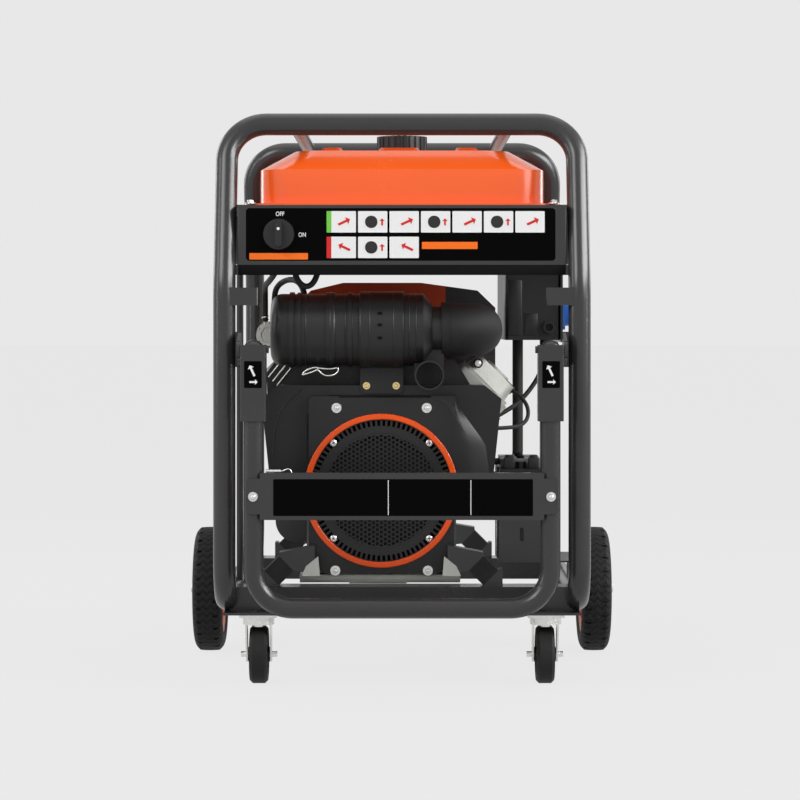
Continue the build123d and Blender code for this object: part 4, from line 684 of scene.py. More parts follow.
def add_tubes(name, routes, radius, finish, body="frame"):
    """One piece of smooth round tubes along their points, with closed ends."""
    with solid(name, finish, body=body) as bm:
        for points in routes:
            curve = bpy.data.curves.new(name, "CURVE")
            assign(curve, dimensions="3D", resolution_u=6, use_fill_caps=True)
            assign(curve, bevel_depth=radius, bevel_resolution=4)
            spline = curve.splines.new("NURBS")
            spline.points.add(len(points) - 1)
            for point, at in zip(spline.points, points):
                point.co = (*at, 1.0)
            assign(spline, order_u=3, use_endpoint_u=True)
            mesh = mesh_of(curve)
            bm.from_mesh(mesh)
            bpy.data.meshes.remove(mesh)


def add_words(name, words, size, at, turn=0.0):
    """Plain white lettering that looks along -Y, or is turned about Z from there."""
    width, depth, weight = 0.8, 0.00008, 0.012
    curve = bpy.data.curves.new(name, "FONT")
    assign(curve, body=words, size=size, align_x="CENTER", align_y="CENTER")
    assign(curve, extrude=depth, offset=size * weight)
    mesh = mesh_of(curve)
    upright = Matrix.Rotation(math.radians(turn), 4, "Z") @ Matrix.Rotation(math.radians(90.0), 4, "X")
    narrow = Matrix.Diagonal((width, 1.0, 1.0, 1.0))
    mesh.transform(Matrix.Translation(at) @ upright @ narrow)
    add_piece(name, mesh, "label_white", smooth=0.0)


def new_tree(name, sizes):
    """A geometry tree with a geometry and the named sizes as inputs."""
    tree = bpy.data.node_groups.new(name, "GeometryNodeTree")
    tree.interface.new_socket("Geometry", in_out="INPUT", socket_type="NodeSocketGeometry")
    for label, value in sizes.items():
        socket = tree.interface.new_socket(label, in_out="INPUT", socket_type="NodeSocketFloat")
        socket.default_value = value
    tree.interface.new_socket("Geometry", in_out="OUTPUT", socket_type="NodeSocketGeometry")
    graph = Graph(tree)
    given = graph.add("NodeGroupInput")
    return graph, given, [given.out(label) for label in sizes]


def painted(graph, shape, finish):
    """The shape with its finish set."""
    return graph.add("GeometryNodeSetMaterial", {}, {"Geometry": shape, "Material": FINISHES[finish]})


def joined(graph, *shapes):
    """Several shapes as one."""
    node = graph.tree.nodes.new("GeometryNodeJoinGeometry")
    for shape in shapes:
        graph.tree.links.new(shape.socket, node.inputs[0])
    return Value(graph, node.outputs[0])


def moved(graph, shape, place, turn=(0.0, 0.0, 0.0)):
    """The shape moved and turned."""
    inputs = {"Geometry": shape, "Translation": place, "Rotation": turn}
    return graph.add("GeometryNodeTransform", {}, inputs)


def lifted(graph, shape, height):
    """The shape moved up by a value."""
    return moved(graph, shape, graph.add("ShaderNodeCombineXYZ", {}, {"Z": height}))


def cone(graph, sides, low, high, depth):
    """A cone or prism that stands on its base."""
    inputs = {"Vertices": sides, "Radius Bottom": low, "Radius Top": high, "Depth": depth}
    return graph.add("GeometryNodeMeshCone", {}, inputs)


def set_on_points(graph, points, shape, spin=0.0):
    """Ends a tree in real geometry: the shape on every point, its Z axis along the point's facing."""
    facing = graph.add("GeometryNodeInputNamedAttribute", {"data_type": "FLOAT_VECTOR"}, {"Name": "facing"})
    turn = graph.add("FunctionNodeAlignRotationToVector", {"axis": "Z"}, {"Vector": facing})
    if spin:
        limits = {2: 0.0, 3: spin, "Seed": 7}
        chance = graph.add("FunctionNodeRandomValue", {"data_type": "FLOAT"}, limits, output=1)
        about = graph.add("ShaderNodeCombineXYZ", {}, {"Z": chance})
        both = {"Rotation": turn, "Rotate By": about}
        turn = graph.add("FunctionNodeRotateRotation", {"rotation_space": "LOCAL"}, both)
    inputs = {"Points": points, "Instance": shape, "Rotation": turn}
    placed = graph.add("GeometryNodeInstanceOnPoints", {}, inputs)
    real = graph.add("GeometryNodeRealizeInstances", {}, [placed])
    graph.add("NodeGroupOutput", {}, [real])


def grow(name, graph, points, slot, body="frame", smooth=35.0):
    """Runs a tree on points, each with the way that it faces, and keeps the result as a plain mesh."""
    seed = bpy.data.meshes.new(name)
    seed.from_pydata([at for at, _ in points], [], [])
    facing = seed.attributes.new("facing", "FLOAT_VECTOR", "POINT")
    for item, (_, way) in zip(facing.data, points):
        item.vector = way
    holder = new_object(name + "_seed", seed)
    holder.modifiers.new("grow", "NODES").node_group = graph.tree
    evaluated = holder.evaluated_get(bpy.context.evaluated_depsgraph_get())
    mesh = bpy.data.meshes.new_from_object(evaluated)
    holder.modifiers.clear()
    bpy.data.objects.remove(holder)
    bpy.data.meshes.remove(seed)
    mesh.name = name
    return add_piece(name, mesh, slot=slot, body=body, smooth=smooth)


def add_bolts(
    name, points, head, height, washer, sides=6, finish="zinc_steel", slot="zinc_steel", body="frame"
):
    """Hex heads with chamfered tops on round washers."""
    sizes = {"Head radius": head, "Head height": height, "Washer radius": washer}
    g, given, (radius, tall, wide) = new_tree(name, sizes)
    base = cone(g, sides, radius, radius, tall * 0.8)
    crown = cone(g, 24, radius * 0.86, radius * 0.74, tall * 0.2)
    dimple = cone(g, 16, radius * 0.5, radius * 0.42, tall * 0.06)
    plate = cone(g, 28, wide, wide * 0.93, tall * 0.3)
    stack = [lifted(g, shape, tall * part) for shape, part in ((base, 0.3), (crown, 1.1), (dimple, 1.3))]
    set_on_points(g, given, painted(g, joined(g, *stack, plate), finish), spin=1.0)
    grow(name, g, points, slot, body)


def add_screws(name, points, head, height):
    """Round-headed screws with a crossed slot, the slot near-black as painted shade."""
    g, given, (radius, tall) = new_tree(name, {"Head radius": head, "Head height": height})
    skirt = cone(g, 24, radius, radius * 0.92, tall * 0.6)
    crown = cone(g, 24, radius * 0.92, radius * 0.62, tall * 0.4)
    size = g.add("ShaderNodeCombineXYZ", {}, [radius * 1.05, radius * 0.2, tall * 0.1])
    bar = g.add("GeometryNodeMeshCube", {}, {"Size": size})
    cross = joined(g, bar, moved(g, bar, (0.0, 0.0, 0.0), (0.0, 0.0, math.pi / 2)))
    body = painted(g, joined(g, skirt, lifted(g, crown, tall * 0.6)), "zinc_steel")
    # The cross takes the near-black finish: painted shade in the slot.
    slots = painted(g, lifted(g, cross, tall * 0.99), "recess_black")
    set_on_points(g, given, joined(g, body, slots), spin=1.4)
    grow(name, g, points, "zinc_steel")


class GENERATOR_OT_finishes(Operator):
    """Gives every CAD node the finish of its slot."""

    bl_idname = "generator.finishes"
    bl_label = "Finishes"

    def execute(self, context):
        make_finishes()
        for part in SUBPARTS:
            node = NODES[part["node"]]
            if not node.material_slots:
                node.data.materials.append(None)
            for slot in node.material_slots:
                slot.material = FINISHES[OWN_FINISH.get(part["node"], part["material_slot"])]
        return {"FINISHED"}


class GENERATOR_OT_fan_screen(Operator):
    """A fine hexagon screen with a slotted rim in place of the coarse CAD grille."""

    bl_idname = "generator.fan_screen"
    bl_label = "Fan screen"

    def execute(self, context):
        sizes = context.scene.generator_sizes
        low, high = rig.box("fan_grille")
        cx, _, cz = centre("fan_grille")
        rim, front = (high[0] - low[0]) / 2, low[1]
        mesh_part, mesh_depth, mesh_thick, spoke_depth, spoke_part = 0.84, 0.0022, 0.0012, 0.0016, 0.46
        pitch, mesh_radius = sizes.screen_pitch, rim * mesh_part
        tile = pitch / math.sqrt(3.0)
        points = []
        count = int(mesh_radius / pitch) + 2
        for column in range(-count, count + 1):
            for row in range(-count, count + 1):
                x = column * tile * 1.5
                z = row * pitch + (pitch / 2 if column % 2 else 0.0)
                if math.hypot(x, z) < mesh_radius:
                    points.append(((cx + x, front + mesh_depth, cz + z), FRONT))

        inputs = {"Tile radius": tile, "Hole part": sizes.screen_web, "Thickness": mesh_thick}
        g, given, (radius, part, thick) = new_tree("screen_tiles", inputs)
        faces = {"mode": "FACES"}
        circle = g.add("GeometryNodeMeshCircle", {"fill_type": "NGON"}, {"Vertices": 6, "Radius": radius})
        inset = g.add("GeometryNodeExtrudeMesh", faces, {"Mesh": circle, "Offset Scale": 0.0})
        top = inset.out("Top")
        hole = g.add("GeometryNodeScaleElements", {}, {"Geometry": inset, "Selection": top, "Scale": part})
        web = g.add("GeometryNodeDeleteGeometry", {"domain": "FACE"}, {"Geometry": hole, "Selection": top})
        back = g.add("GeometryNodeFlipFaces", {}, {"Mesh": web})
        thickened = {"Mesh": web, "Offset Scale": thick, "Individual": False}
        plate = g.add("GeometryNodeExtrudeMesh", faces, thickened)
        set_on_points(g, given, painted(g, joined(g, plate, back), "black_plastic"))
        screen = grow("fan_screen_mesh", g, points, "black_plastic", smooth=0.0)
        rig.replaces(screen, "fan_grille")

        with solid("fan_screen_rim", "black_plastic") as bm:
            for inner, outer, thick, depth in (
                (mesh_radius - 0.006, mesh_radius + 0.006, 0.003, 0.0015),
                (rim * 0.965, rim, 0.003, 0.0015),
                (mesh_radius - 0.01, mesh_radius - 0.006, 0.0018, 0.002),
            ):
                add_ring(bm, (cx, front + depth, cz), FRONT, inner, outer, thick, 144)

        slots = sizes.screen_slots
        inner, outer = mesh_radius + 0.005, rim * 0.97
        middle = (inner + outer) / 2
        spokes = []
        for c, s in spread(slots):
            spokes.append(((cx + c * middle, front + spoke_depth, cz + s * middle), (c, 0.0, s)))
        inputs = {"Length": outer - inner, "Width": 2.0 * math.pi * middle / slots * spoke_part}
        g, given, (length, width) = new_tree("screen_spokes", inputs)
        size = g.add("ShaderNodeCombineXYZ", {}, [width, width, length])
        spoke = g.add("GeometryNodeMeshCube", {}, {"Size": size})
        set_on_points(g, given, painted(g, spoke, "black_plastic"))
        grow("fan_screen_spokes", g, spokes, "black_plastic", smooth=0.0)
        return {"FINISHED"}


class GENERATOR_OT_fasteners(Operator):
    """Bolts, nuts and screws on the blower, screen, clamp, handle, tank, rear axle and end bell."""

    bl_idname = "generator.fasteners"
    bl_label = "Fasteners"

    def execute(self, context):
        head = context.scene.generator_sizes.flange_head / 2
        blower_face, clamp_face = -0.3448, -0.3288
        corners = ((-0.114, 0.475), (0.043, 0.475), (-0.116, 0.192), (0.045, 0.192))
        add_bolts("blower_bolts", [((x, blower_face, z), FRONT) for x, z in corners], head, 0.0045, 0.0092)

        cx, _, cz = centre("fan_grille")
        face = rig.box("fan_grille")[0][1] - 0.0005
        reach = (-0.0833, 0.0833)
        around = [((cx + dx, face, cz + dz), FRONT) for dx in reach for dz in reach]
        add_screws("screen_screws", around, 0.0062, 0.0034)

        clamp = [((x, clamp_face, 0.5132), FRONT) for x in (-0.062, -0.0102)]
        add_bolts("clamp_bolts", clamp, 0.0042, 0.004, 0.0068, finish="yellow_zinc")

        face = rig.box("handle_plate")[0][1] + BEDDED
        ends = [((x, face, 0.3315), FRONT) for x in (-0.25, 0.25)]
        add_bolts("handle_bolts", ends, 0.0055, 0.005, 0.0085, body="tow_handle")

        flange, rows = 0.8288, (-0.384, -0.12, 0.15, 0.414)
        tank = [((x, y, flange), UP) for x in (-0.262, 0.262) for y in rows]
        add_bolts("tank_bolts", tank, 0.0058, 0.005, 0.0095)

        (left, _, _), (right, _, _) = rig.box("rear_axle")
        _, y, z = centre("rear_axle")
        nuts = [((left, y, z), (-1.0, 0.0, 0.0)), ((right, y, z), RIGHT)]
        add_bolts("axle_nuts", nuts, 0.0085, 0.0026, 0.0105)

        x, _, z = centre("end_bell")
        back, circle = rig.box("end_bell")[1][1], 0.113
        bell = [((x + circle * c, back, z + circle * s), BACK) for c, s in spread(4, 45.0)]
        add_bolts("bell_bolts", bell, 0.0055, 0.005, 0.0088)
        return {"FINISHED"}


class GENERATOR_OT_fascia_label(Operator):
    """A black label with plain tiles, generic arrows, signs and bars, and ON and OFF at the knob."""

    bl_idname = "generator.fascia_label"
    bl_label = "Fascia label"

    def execute(self, context):
        first, pitch, wide, tab = -0.1285, 0.0536, 0.05, 0.008
        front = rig.box("fascia_panel")[0][1] + BEDDED
        layers = [front - LAYER * i for i in range(4)]
        tiles, tabs, signs, arrows = [], [], [], []
        for row, (low, high) in enumerate(((0.777, 0.8135), (0.7335, 0.77))):
            middle = (low + high) / 2
            tabs.append(rounded(first, low, first + tab, high, 0.001))
            for column in range(7 if row == 0 else 3):
                left = first + column * pitch
                tiles.append(rounded(left, low, left + wide, high, 0.0015))
                if column % 2 == 0:
                    arrows.append(arrow(left + 0.03, middle, 0.022, 0.0042, 25.0 + 130.0 * row))
                else:
                    corners = (left + 0.012, middle - 0.0105, left + 0.033, middle + 0.0105)
                    signs.append(rounded(*corners, 0.01, 8))
                    arrows.append(arrow(left + 0.041, middle, 0.012, 0.003, 90.0))
        label = rounded(-0.266, 0.729, 0.2615, 0.8187, 0.006)
        bars = [(-0.26, 0.7311, -0.1603, 0.742), (0.0339, 0.749, 0.1288, 0.7611)]
        for name, outlines, layer, finish in (
            ("fascia_label", [label], 1, "label_black"),
            ("fascia_tiles", tiles, 2, "label_white"),
            ("fascia_tab_green", tabs[:1], 3, "label_green"),
            ("fascia_tab_red", tabs[1:], 3, "label_red"),
            ("fascia_arrows", arrows, 3, "label_red"),
            ("fascia_signs", signs, 3, "shaded_iron"),
            ("fascia_bars", [rounded(*bar, 0.001) for bar in bars], 2, "label_orange"),
        ):
            add_plates(name, outlines, layers[layer], layers[layer - 1], finish)
        for name, words, x, z in (("fascia_off", "OFF", -0.208, 0.8085), ("fascia_on", "ON", -0.17, 0.773)):
            add_words(name, words, 0.0105, (x, layers[1], z))
        dot = [rounded(-0.2125, 0.7805, -0.2075, 0.7855, 0.0024)]
        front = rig.box("fuel_valve_knob")[0][1]
        add_plates("knob_dot", dot, front - LAYER, front + 0.0006, "label_white", "valve_knob")
        return {"FINISHED"}


class GENERATOR_OT_handle_labels(Operator):
    """Bare black label with plain rules on the handle plate, and lift arrows on each sleeve."""

    bl_idname = "generator.handle_labels"
    bl_label = "Handle labels"

    def execute(self, context):
        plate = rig.box("handle_plate")[0][1]
        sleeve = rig.box("handle_sleeves")[0][1]
        label_front, sign_front, ink = plate - LAYER, sleeve - 0.0005, 0.0003
        label = [rounded(-0.216, 0.2994, 0.2196, 0.3611, 0.002)]
        rules = [rounded(x - 0.0006, 0.301, x + 0.0006, 0.3595, 0.0002, 1) for x in (-0.023, 0.1155)]
        signs, lifts = [], []
        for x in (-0.25, 0.25):
            signs.append(rounded(x - 0.0148, 0.514, x + 0.0148, 0.559, 0.0015))
            lifts.append(arrow(x - 0.0015, 0.543, 0.02, 0.0036, 115.0))
            lifts.append(arrow(x + 0.001, 0.524, 0.014, 0.003, 0.0))
        for name, outlines, front, back, finish in (
            ("plate_label", label, label_front, plate + BEDDED, "label_black"),
            ("plate_label_rules", rules, label_front - ink, label_front, "label_white"),
            ("sleeve_labels", signs, sign_front, sleeve + 0.0003, "label_black"),
            ("sleeve_arrows", lifts, sign_front - ink, sign_front, "label_white"),
        ):
            add_plates(name, outlines, front, back, finish, "tow_handle")
        return {"FINISHED"}


class GENERATOR_OT_hoses(Operator):
    """Fuel and breather hoses with wire clips at the pump, and the right head's spark lead with its boot."""

    bl_idname = "generator.hoses"
    bl_label = "Hoses"

    def execute(self, context):
        hose = context.scene.generator_sizes.hose_width / 2
        pump_y, pump_top, left, right = -0.15, 0.635, -0.248, -0.232
        socket, clip_z, clip_radius, clip_rise = pump_top - 0.01, 0.629, 0.0062, 0.001
        routes = (
            ((-0.212, -0.416, 0.744), (-0.213, -0.402, 0.716), (-0.232, -0.33, 0.695), (-0.246, -0.2, 0.69),
             (left, pump_y, 0.672), (left, pump_y, socket)),
            ((right, pump_y, socket), (right, pump_y, 0.664), (-0.228, -0.16, 0.688), (-0.208, -0.19, 0.701),
             (-0.186, -0.24, 0.699), (-0.172, -0.285, 0.68), (-0.168, -0.31, 0.655)),
            ((-0.197, -0.416, 0.746), (-0.188, -0.401, 0.722), (-0.179, -0.398, 0.692),
             (-0.162, -0.396, 0.683), (-0.147, -0.394, 0.698), (-0.14, -0.39, 0.74), (-0.14, -0.372, 0.802)),
        )
        add_tubes("fuel_hoses", routes, hose, "black_rubber")
        turns = [0.6 * i for i in range(12)]
        coil = [(clip_radius * math.cos(a), clip_radius * math.sin(a), clip_rise * a) for a in turns]
        clips = [[(x + dx, pump_y + dy, clip_z + dz) for dx, dy, dz in coil] for x in (left, right)]
        add_tubes("hose_clips", clips, 0.0009, "zinc_steel")

        lead = (
            (0.196, -0.18, 0.502), (0.212, -0.19, 0.492), (0.226, -0.2, 0.474), (0.226, -0.215, 0.452),
            (0.212, -0.24, 0.44), (0.19, -0.262, 0.437), (0.165, -0.28, 0.437),
        )
        boot = ((0.176, -0.172, 0.522), (0.184, -0.175, 0.514), (0.198, -0.181, 0.5))
        add_tubes("plug_lead", [lead], 0.0036, "black_rubber")
        add_tubes("plug_boot", [boot], 0.0085, "black_rubber")
        return {"FINISHED"}


class GENERATOR_OT_cleaner_trim(Operator):
    """Wire bail, seam ribs and near-black drain marks of painted shade on the air cleaner."""

    bl_idname = "generator.cleaner_trim"
    bl_label = "Air cleaner trim"

    def execute(self, context):
        axis_y, axis_z, body, clamp, outside = -0.335, 0.611, 0.0622, 0.0662, 0.0685
        bail_y, hook_x = -0.372, -0.146
        bail = (
            (-0.172, 0.534), (-0.17, 0.54), (-0.15, 0.547), (-0.143, 0.5445), (-0.122, 0.543),
            (-0.112, 0.546), (-0.109, 0.541), (-0.116, 0.533), (-0.131, 0.531), (-0.14, 0.536),
            (-0.146, 0.543), (-0.152, 0.539), (-0.172, 0.533),
        )
        hook = ((bail_y, 0.544), (-0.362, 0.55), (-0.35, 0.552), (-0.342, 0.554))
        wires = ([(x, bail_y, z) for x, z in bail], [(hook_x, y, z) for y, z in hook])
        add_tubes("bail_wire", wires, 0.0013, "zinc_steel")
        with solid("cleaner_seams", "black_plastic") as bm:
            for x, wide, proud in (
                (-0.166, 0.003, 0.0012), (-0.121, 0.013, 0.0034), (-0.098, 0.0024, 0.0014),
                (-0.086, 0.0024, 0.0014), (0.012, 0.003, 0.0016), (0.024, 0.0024, 0.0012),
            ):
                add_hoop(bm, x, axis_y, axis_z, body, wide, proud)
            for x in (-0.0725, -0.056, -0.015, 0.0015):
                add_hoop(bm, x, axis_y, axis_z, clamp, 0.0026, 0.001)
        # The marks take the near-black finish: painted shade.
        with solid("cleaner_marks", "recess_black") as bm:
            for z in (0.64, 0.62, 0.597):
                y = axis_y - math.sqrt(outside ** 2 - (z - axis_z) ** 2)
                add_block(bm, (-0.0415, y - 0.0004, z - 0.0022), (-0.0345, y + 0.004, z + 0.0022))
        return {"FINISHED"}


class GENERATOR_OT_engine_base(Operator):
    """Alloy base bar under the crankcase with gussets to the mounts."""

    bl_idname = "generator.engine_base"
    bl_label = "Engine base"

    def execute(self, context):
        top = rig.box("crankcase")[0][2]
        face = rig.box("mount_brackets")[0][1]
        with solid("engine_base", "cast_alloy") as bm:
            add_block(bm, (-0.179, -0.318, top - 0.0145), (0.102, -0.2, top + 0.0004), 0.0012)
            add_block(bm, (-0.092, -0.324, top - 0.0185), (0.008, -0.23, top - 0.0146), 0.0008)
        left = ((-0.174, 0.185), (-0.142, 0.185), (-0.145, 0.219), (-0.166, 0.202))
        twice_middle = -0.072
        right = [(twice_middle - x, z) for x, z in left][::-1]
        with solid("base_gussets", "cast_alloy") as bm:
            for gusset in (left, right):
                add_plate(bm, gusset, face - 0.0022, face + 0.0004)
        return {"FINISHED"}


class GENERATOR_OT_blower_mouldings(Operator):
    """Moulded slope and rib on the blower's wings, and the dark discs of painted shade behind the screen."""

    bl_idname = "generator.blower_mouldings"
    bl_label = "Blower mouldings"

    def execute(self, context):
        wing, face, edge = -0.3248, -0.3447, 0.0925
        half_way, rib_axis = (face + wing) / 2 - 0.0025, wing - 0.0004
        slope = (
            (0.496, 0.002, 0.05), (0.473, 0.01, 0.05), (0.454, 0.0225, 0.056), (0.426, 0.043, 0.07),
            (0.409, 0.054, 0.08), (0.365, 0.06, 0.0905), (0.352, 0.058, 0.0915), (0.335, 0.04, 0.0915),
            (0.315, 0.018, 0.0915), (0.303, 0.005, 0.0915),
        )
        corner = (
            (-0.11, 0.495), (-0.156, 0.495), (-0.161, 0.492), (-0.1625, 0.486), (-0.1625, 0.448),
            (-0.11, 0.448),
        )
        rows = []
        for z, wide, inner in slope:
            foot = ((edge + wide * 0.5, half_way), (edge + wide, wing), (inner, wing))
            rows.append([(x, y, z) for x, y in ((inner, face), (edge, face), *foot)])
        with solid("blower_slope", "black_plastic", smooth=50.0) as bm:
            add_slab(bm, rows)
            add_plate(bm, corner, face, wing)
        rib = (
            (-0.176, 0.506), (-0.196, 0.49), (-0.2125, 0.47), (-0.2215, 0.445), (-0.2255, 0.415),
            (-0.2262, 0.395),
        )
        add_tubes("blower_rib", [[(x, rib_axis, z) for x, z in rib]], 0.0012, "black_plastic")
        cx, _, cz = centre("fan_grille")
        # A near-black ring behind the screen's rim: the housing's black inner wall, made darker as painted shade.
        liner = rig.box("fan_grille")[1][1] + 0.006
        with solid("screen_liner", "recess_black") as bm:
            add_ring(bm, (cx, liner, cz), FRONT, 0.1, 0.1276, 0.0012)
        # The debris screen is a real part; its near-black grey is painted shade.
        with solid("debris_screen", "shaded_iron", "dark_steel", "crank_train") as bm:
            add_ring(bm, (cx, -0.329, cz), FRONT, 0.0185, 0.0985, 0.0012)
            add_ring(bm, (cx, -0.3225, cz), FRONT, 0.092, 0.0985, 0.0135)
        return {"FINISHED"}


class GENERATOR_OT_engine_trim(Operator):
    """Round face and screws of the fuel pump, and a bolt on a near-black disc of painted shade at the right cylinder
    head.
    """

    bl_idname = "generator.engine_trim"
    bl_label = "Engine trim"

    def execute(self, context):
        x, z, screws = -0.24, 0.601, 0.0222
        with solid("pump_face", "cast_alloy") as bm:
            for y, inner, outer, thick in (
                (-0.15, 0.018, 0.0245, 0.0056), (-0.164, 0.015, 0.0195, 0.003), (-0.1635, 0.0, 0.012, 0.004),
            ):
                add_ring(bm, (x, y, z), FRONT, inner, outer, thick, 48)
        around = [((x + screws * c, -0.1534, z + screws * s), FRONT) for c, s in spread(6, 30.0)]
        add_screws("pump_screws", around, 0.0022, 0.0018)

        x, z = 0.1362, 0.5506
        # A near-black disc under the bolt: painted shade round its head.
        with solid("head_bolt_seat", "recess_black") as bm:
            add_ring(bm, (x, -0.2105, z), FRONT, 0.0, 0.0085, 0.012, 32)
        add_bolts("head_bolt", [((x, -0.2164, z), FRONT)], 0.0052, 0.0048, 0.0062, 12)
        return {"FINISHED"}


class GENERATOR_OT_front_trim(Operator):
    """Near-black strip of painted shade under the fascia, lock pin on the handle plate, and cable and glands at the
    control box.
    """

    bl_idname = "generator.front_trim"
    bl_label = "Front trim"

    def execute(self, context):
        # A thin near-black strip in front of the beam: painted shade under the fascia.
        with solid("beam_trim", "recess_black") as bm:
            add_block(bm, (-0.279, -0.4392, 0.7046), (0.279, -0.4376, 0.7219), 0.0005)

        top, pin_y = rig.box("handle_plate")[1][2], -0.505
        pin = ((-0.229, 0.0026), (-0.216, 0.0026), (-0.203, 0.0026))
        loop = (
            (-0.203, 0.0026), (-0.199, 0.003), (-0.195, 0.0058), (-0.19, 0.0066), (-0.186, 0.0036),
            (-0.185, -0.001),
        )
        for name, route, radius in (("lock_pin", pin, 0.003), ("lock_pin_loop", loop, 0.001)):
            add_tubes(name, [[(x, pin_y, top + up) for x, up in route]], radius, "zinc_steel", "tow_handle")

        cable = (
            (0.262, -0.12, 0.596), (0.261, -0.12, 0.56), (0.25, -0.124, 0.525), (0.226, -0.136, 0.492),
            (0.2, -0.152, 0.468), (0.152, -0.172, 0.444),
        )
        add_tubes("signal_cable", [cable], 0.0042, "black_rubber")
        _, face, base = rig.box("control_box")[0]
        x, z = 0.264, 0.615
        with solid("box_glands", "black_plastic") as bm:
            add_ring(bm, (x, face - 0.004, z), FRONT, 0.0075, 0.013, 0.009, 6)
            add_ring(bm, (x, face - 0.0105, z), FRONT, 0.007, 0.0105, 0.007, 32)
            add_ring(bm, (0.262, -0.12, base - 0.0045), UP, 0.0042, 0.01, 0.009, 6)
            add_block(bm, (0.19, face - 0.0022, 0.6), (0.216, face + 0.001, 0.7), 0.0015)
            add_block(bm, (0.22, face - 0.0014, 0.6), (0.244, face + 0.001, 0.64), 0.001)
        return {"FINISHED"}


class GENERATOR_OT_battery_trim(Operator):
    """Grey lid, vent caps, posts and boots on the battery."""

    bl_idname = "generator.battery_trim"
    bl_label = "Battery trim"

    def execute(self, context):
        (low_x, low_y, _), (high_x, high_y, high_z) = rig.box("battery")
        strap_low, strap_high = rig.box("battery_hold_down")
        case_top, gap, inset, post = 0.3668, 0.001, 0.002, 0.016
        halves = ((low_y + 0.03, strap_low[1] - gap), (strap_high[1] + gap, high_y - inset))
        with solid("battery_lid", "lid_grey", "battery_case") as bm:
            for start, end in halves:
                add_block(bm, (low_x + inset, start, case_top), (high_x - inset, end, high_z + 0.005), 0.0015)
        middle, vents = (low_x + high_x) / 2, (-0.276, -0.256, -0.208, -0.19, -0.172, -0.154)
        places = [((middle, y, high_z + 0.005 - BEDDED), UP) for y in vents]
        # The vent caps take the near-black finish: painted shade in the lid's vents.
        add_bolts("battery_vents", places, 0.0062, 0.004, 0.0074, 16, "recess_black", "battery_case")
        with solid("battery_boots", "black_rubber") as bm:
            for x in (low_x + post, high_x - post):
                add_ring(bm, (x, low_y + post, high_z + 0.006), UP, 0.0, 0.007, 0.012, 32)
                boot_low = (x - 0.009, low_y + 0.004, case_top)
                add_block(bm, boot_low, (x + 0.009, low_y + 0.028, high_z + 0.008), 0.002)
        return {"FINISHED"}


class GENERATOR_OT_panel_trim(Operator):
    """Screws, meter window, pilot lamp, earth terminal and ON and OFF on the control panel."""

    bl_idname = "generator.panel_trim"
    bl_label = "Panel trim"

    def execute(self, context):
        face = 0.289
        seat = face - BEDDED
        places = [((seat, y, z), RIGHT) for y in (-0.182, 0.01, 0.202) for z in (0.602, 0.768)]
        add_screws("panel_screws", places, 0.0048, 0.0026)
        with solid("meter_bezel", "black_plastic") as bm:
            add_block(bm, (face - 0.001, 0.07, 0.715), (face + 0.004, 0.15, 0.756), 0.002)
        with solid("meter_window", "meter_glass") as bm:
            add_block(bm, (face + 0.0036, 0.078, 0.721), (face + 0.0046, 0.142, 0.75), 0.0003)
        lamp, earth = [((seat, -0.085, 0.735), RIGHT)], [((seat, 0.17, 0.63), RIGHT)]
        add_bolts("pilot_lamp", lamp, 0.006, 0.006, 0.0075, 24, "label_red", None)
        add_bolts("earth_terminal", earth, 0.007, 0.011, 0.011)
        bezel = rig.box("control_panel")[1][0]
        for name, words, z in (("breaker_on", "ON", 0.7555), ("breaker_off", "OFF", 0.7145)):
            add_words(name, words, 0.009, (bezel, -0.04, z), 90.0)
        return {"FINISHED"}


class GENERATOR_OT_left_cowl(Operator):
    """Black cowl with slanted ribs in front of the left cylinder head."""

    bl_idname = "generator.left_cowl"
    bl_label = "Left cowl"

    def execute(self, context):
        front, back = -0.188, -0.163
        outline = ((-0.244, 0.533), (-0.215, 0.57), (-0.188, 0.545), (-0.208, 0.512), (-0.242, 0.49))
        with solid("left_cowl", "black_plastic", smooth=20.0) as bm:
            add_plate(bm, outline, front, back)
        rib = ((-0.24, 0.525), (-0.228, 0.54), (-0.215, 0.556))
        ribs = [[(x + step, front, z - step) for x, z in rib] for step in (0.0, 0.0075, 0.015)]
        add_tubes("left_cowl_ribs", ribs, 0.0016, "cast_alloy")
        return {"FINISHED"}


class GENERATOR_OT_side_upright(Operator):
    """Flat bar from the left foot tube to the tank rail, and tabs between the fascia's ends and the hoop."""

    bl_idname = "generator.side_upright"
    bl_label = "Side upright"

    def execute(self, context):
        with solid("side_upright", "frame_paint") as bm:
            add_block(bm, (-0.298, -0.182, 0.15), (-0.2866, -0.158, 0.812), 0.0015)
        inner, outer, fore, aft = 0.279, 0.285, -0.003, 0.006
        section = ((inner, fore), (outer, fore), (outer, aft), (inner, aft))
        ends = ((0.723, -0.437), (0.805, -0.412))
        with solid("fascia_tabs", "frame_paint") as bm:
            for side in (-1.0, 1.0):
                add_slab(bm, [[(side * x, y + deep, z) for x, deep in section] for z, y in ends])
        return {"FINISHED"}


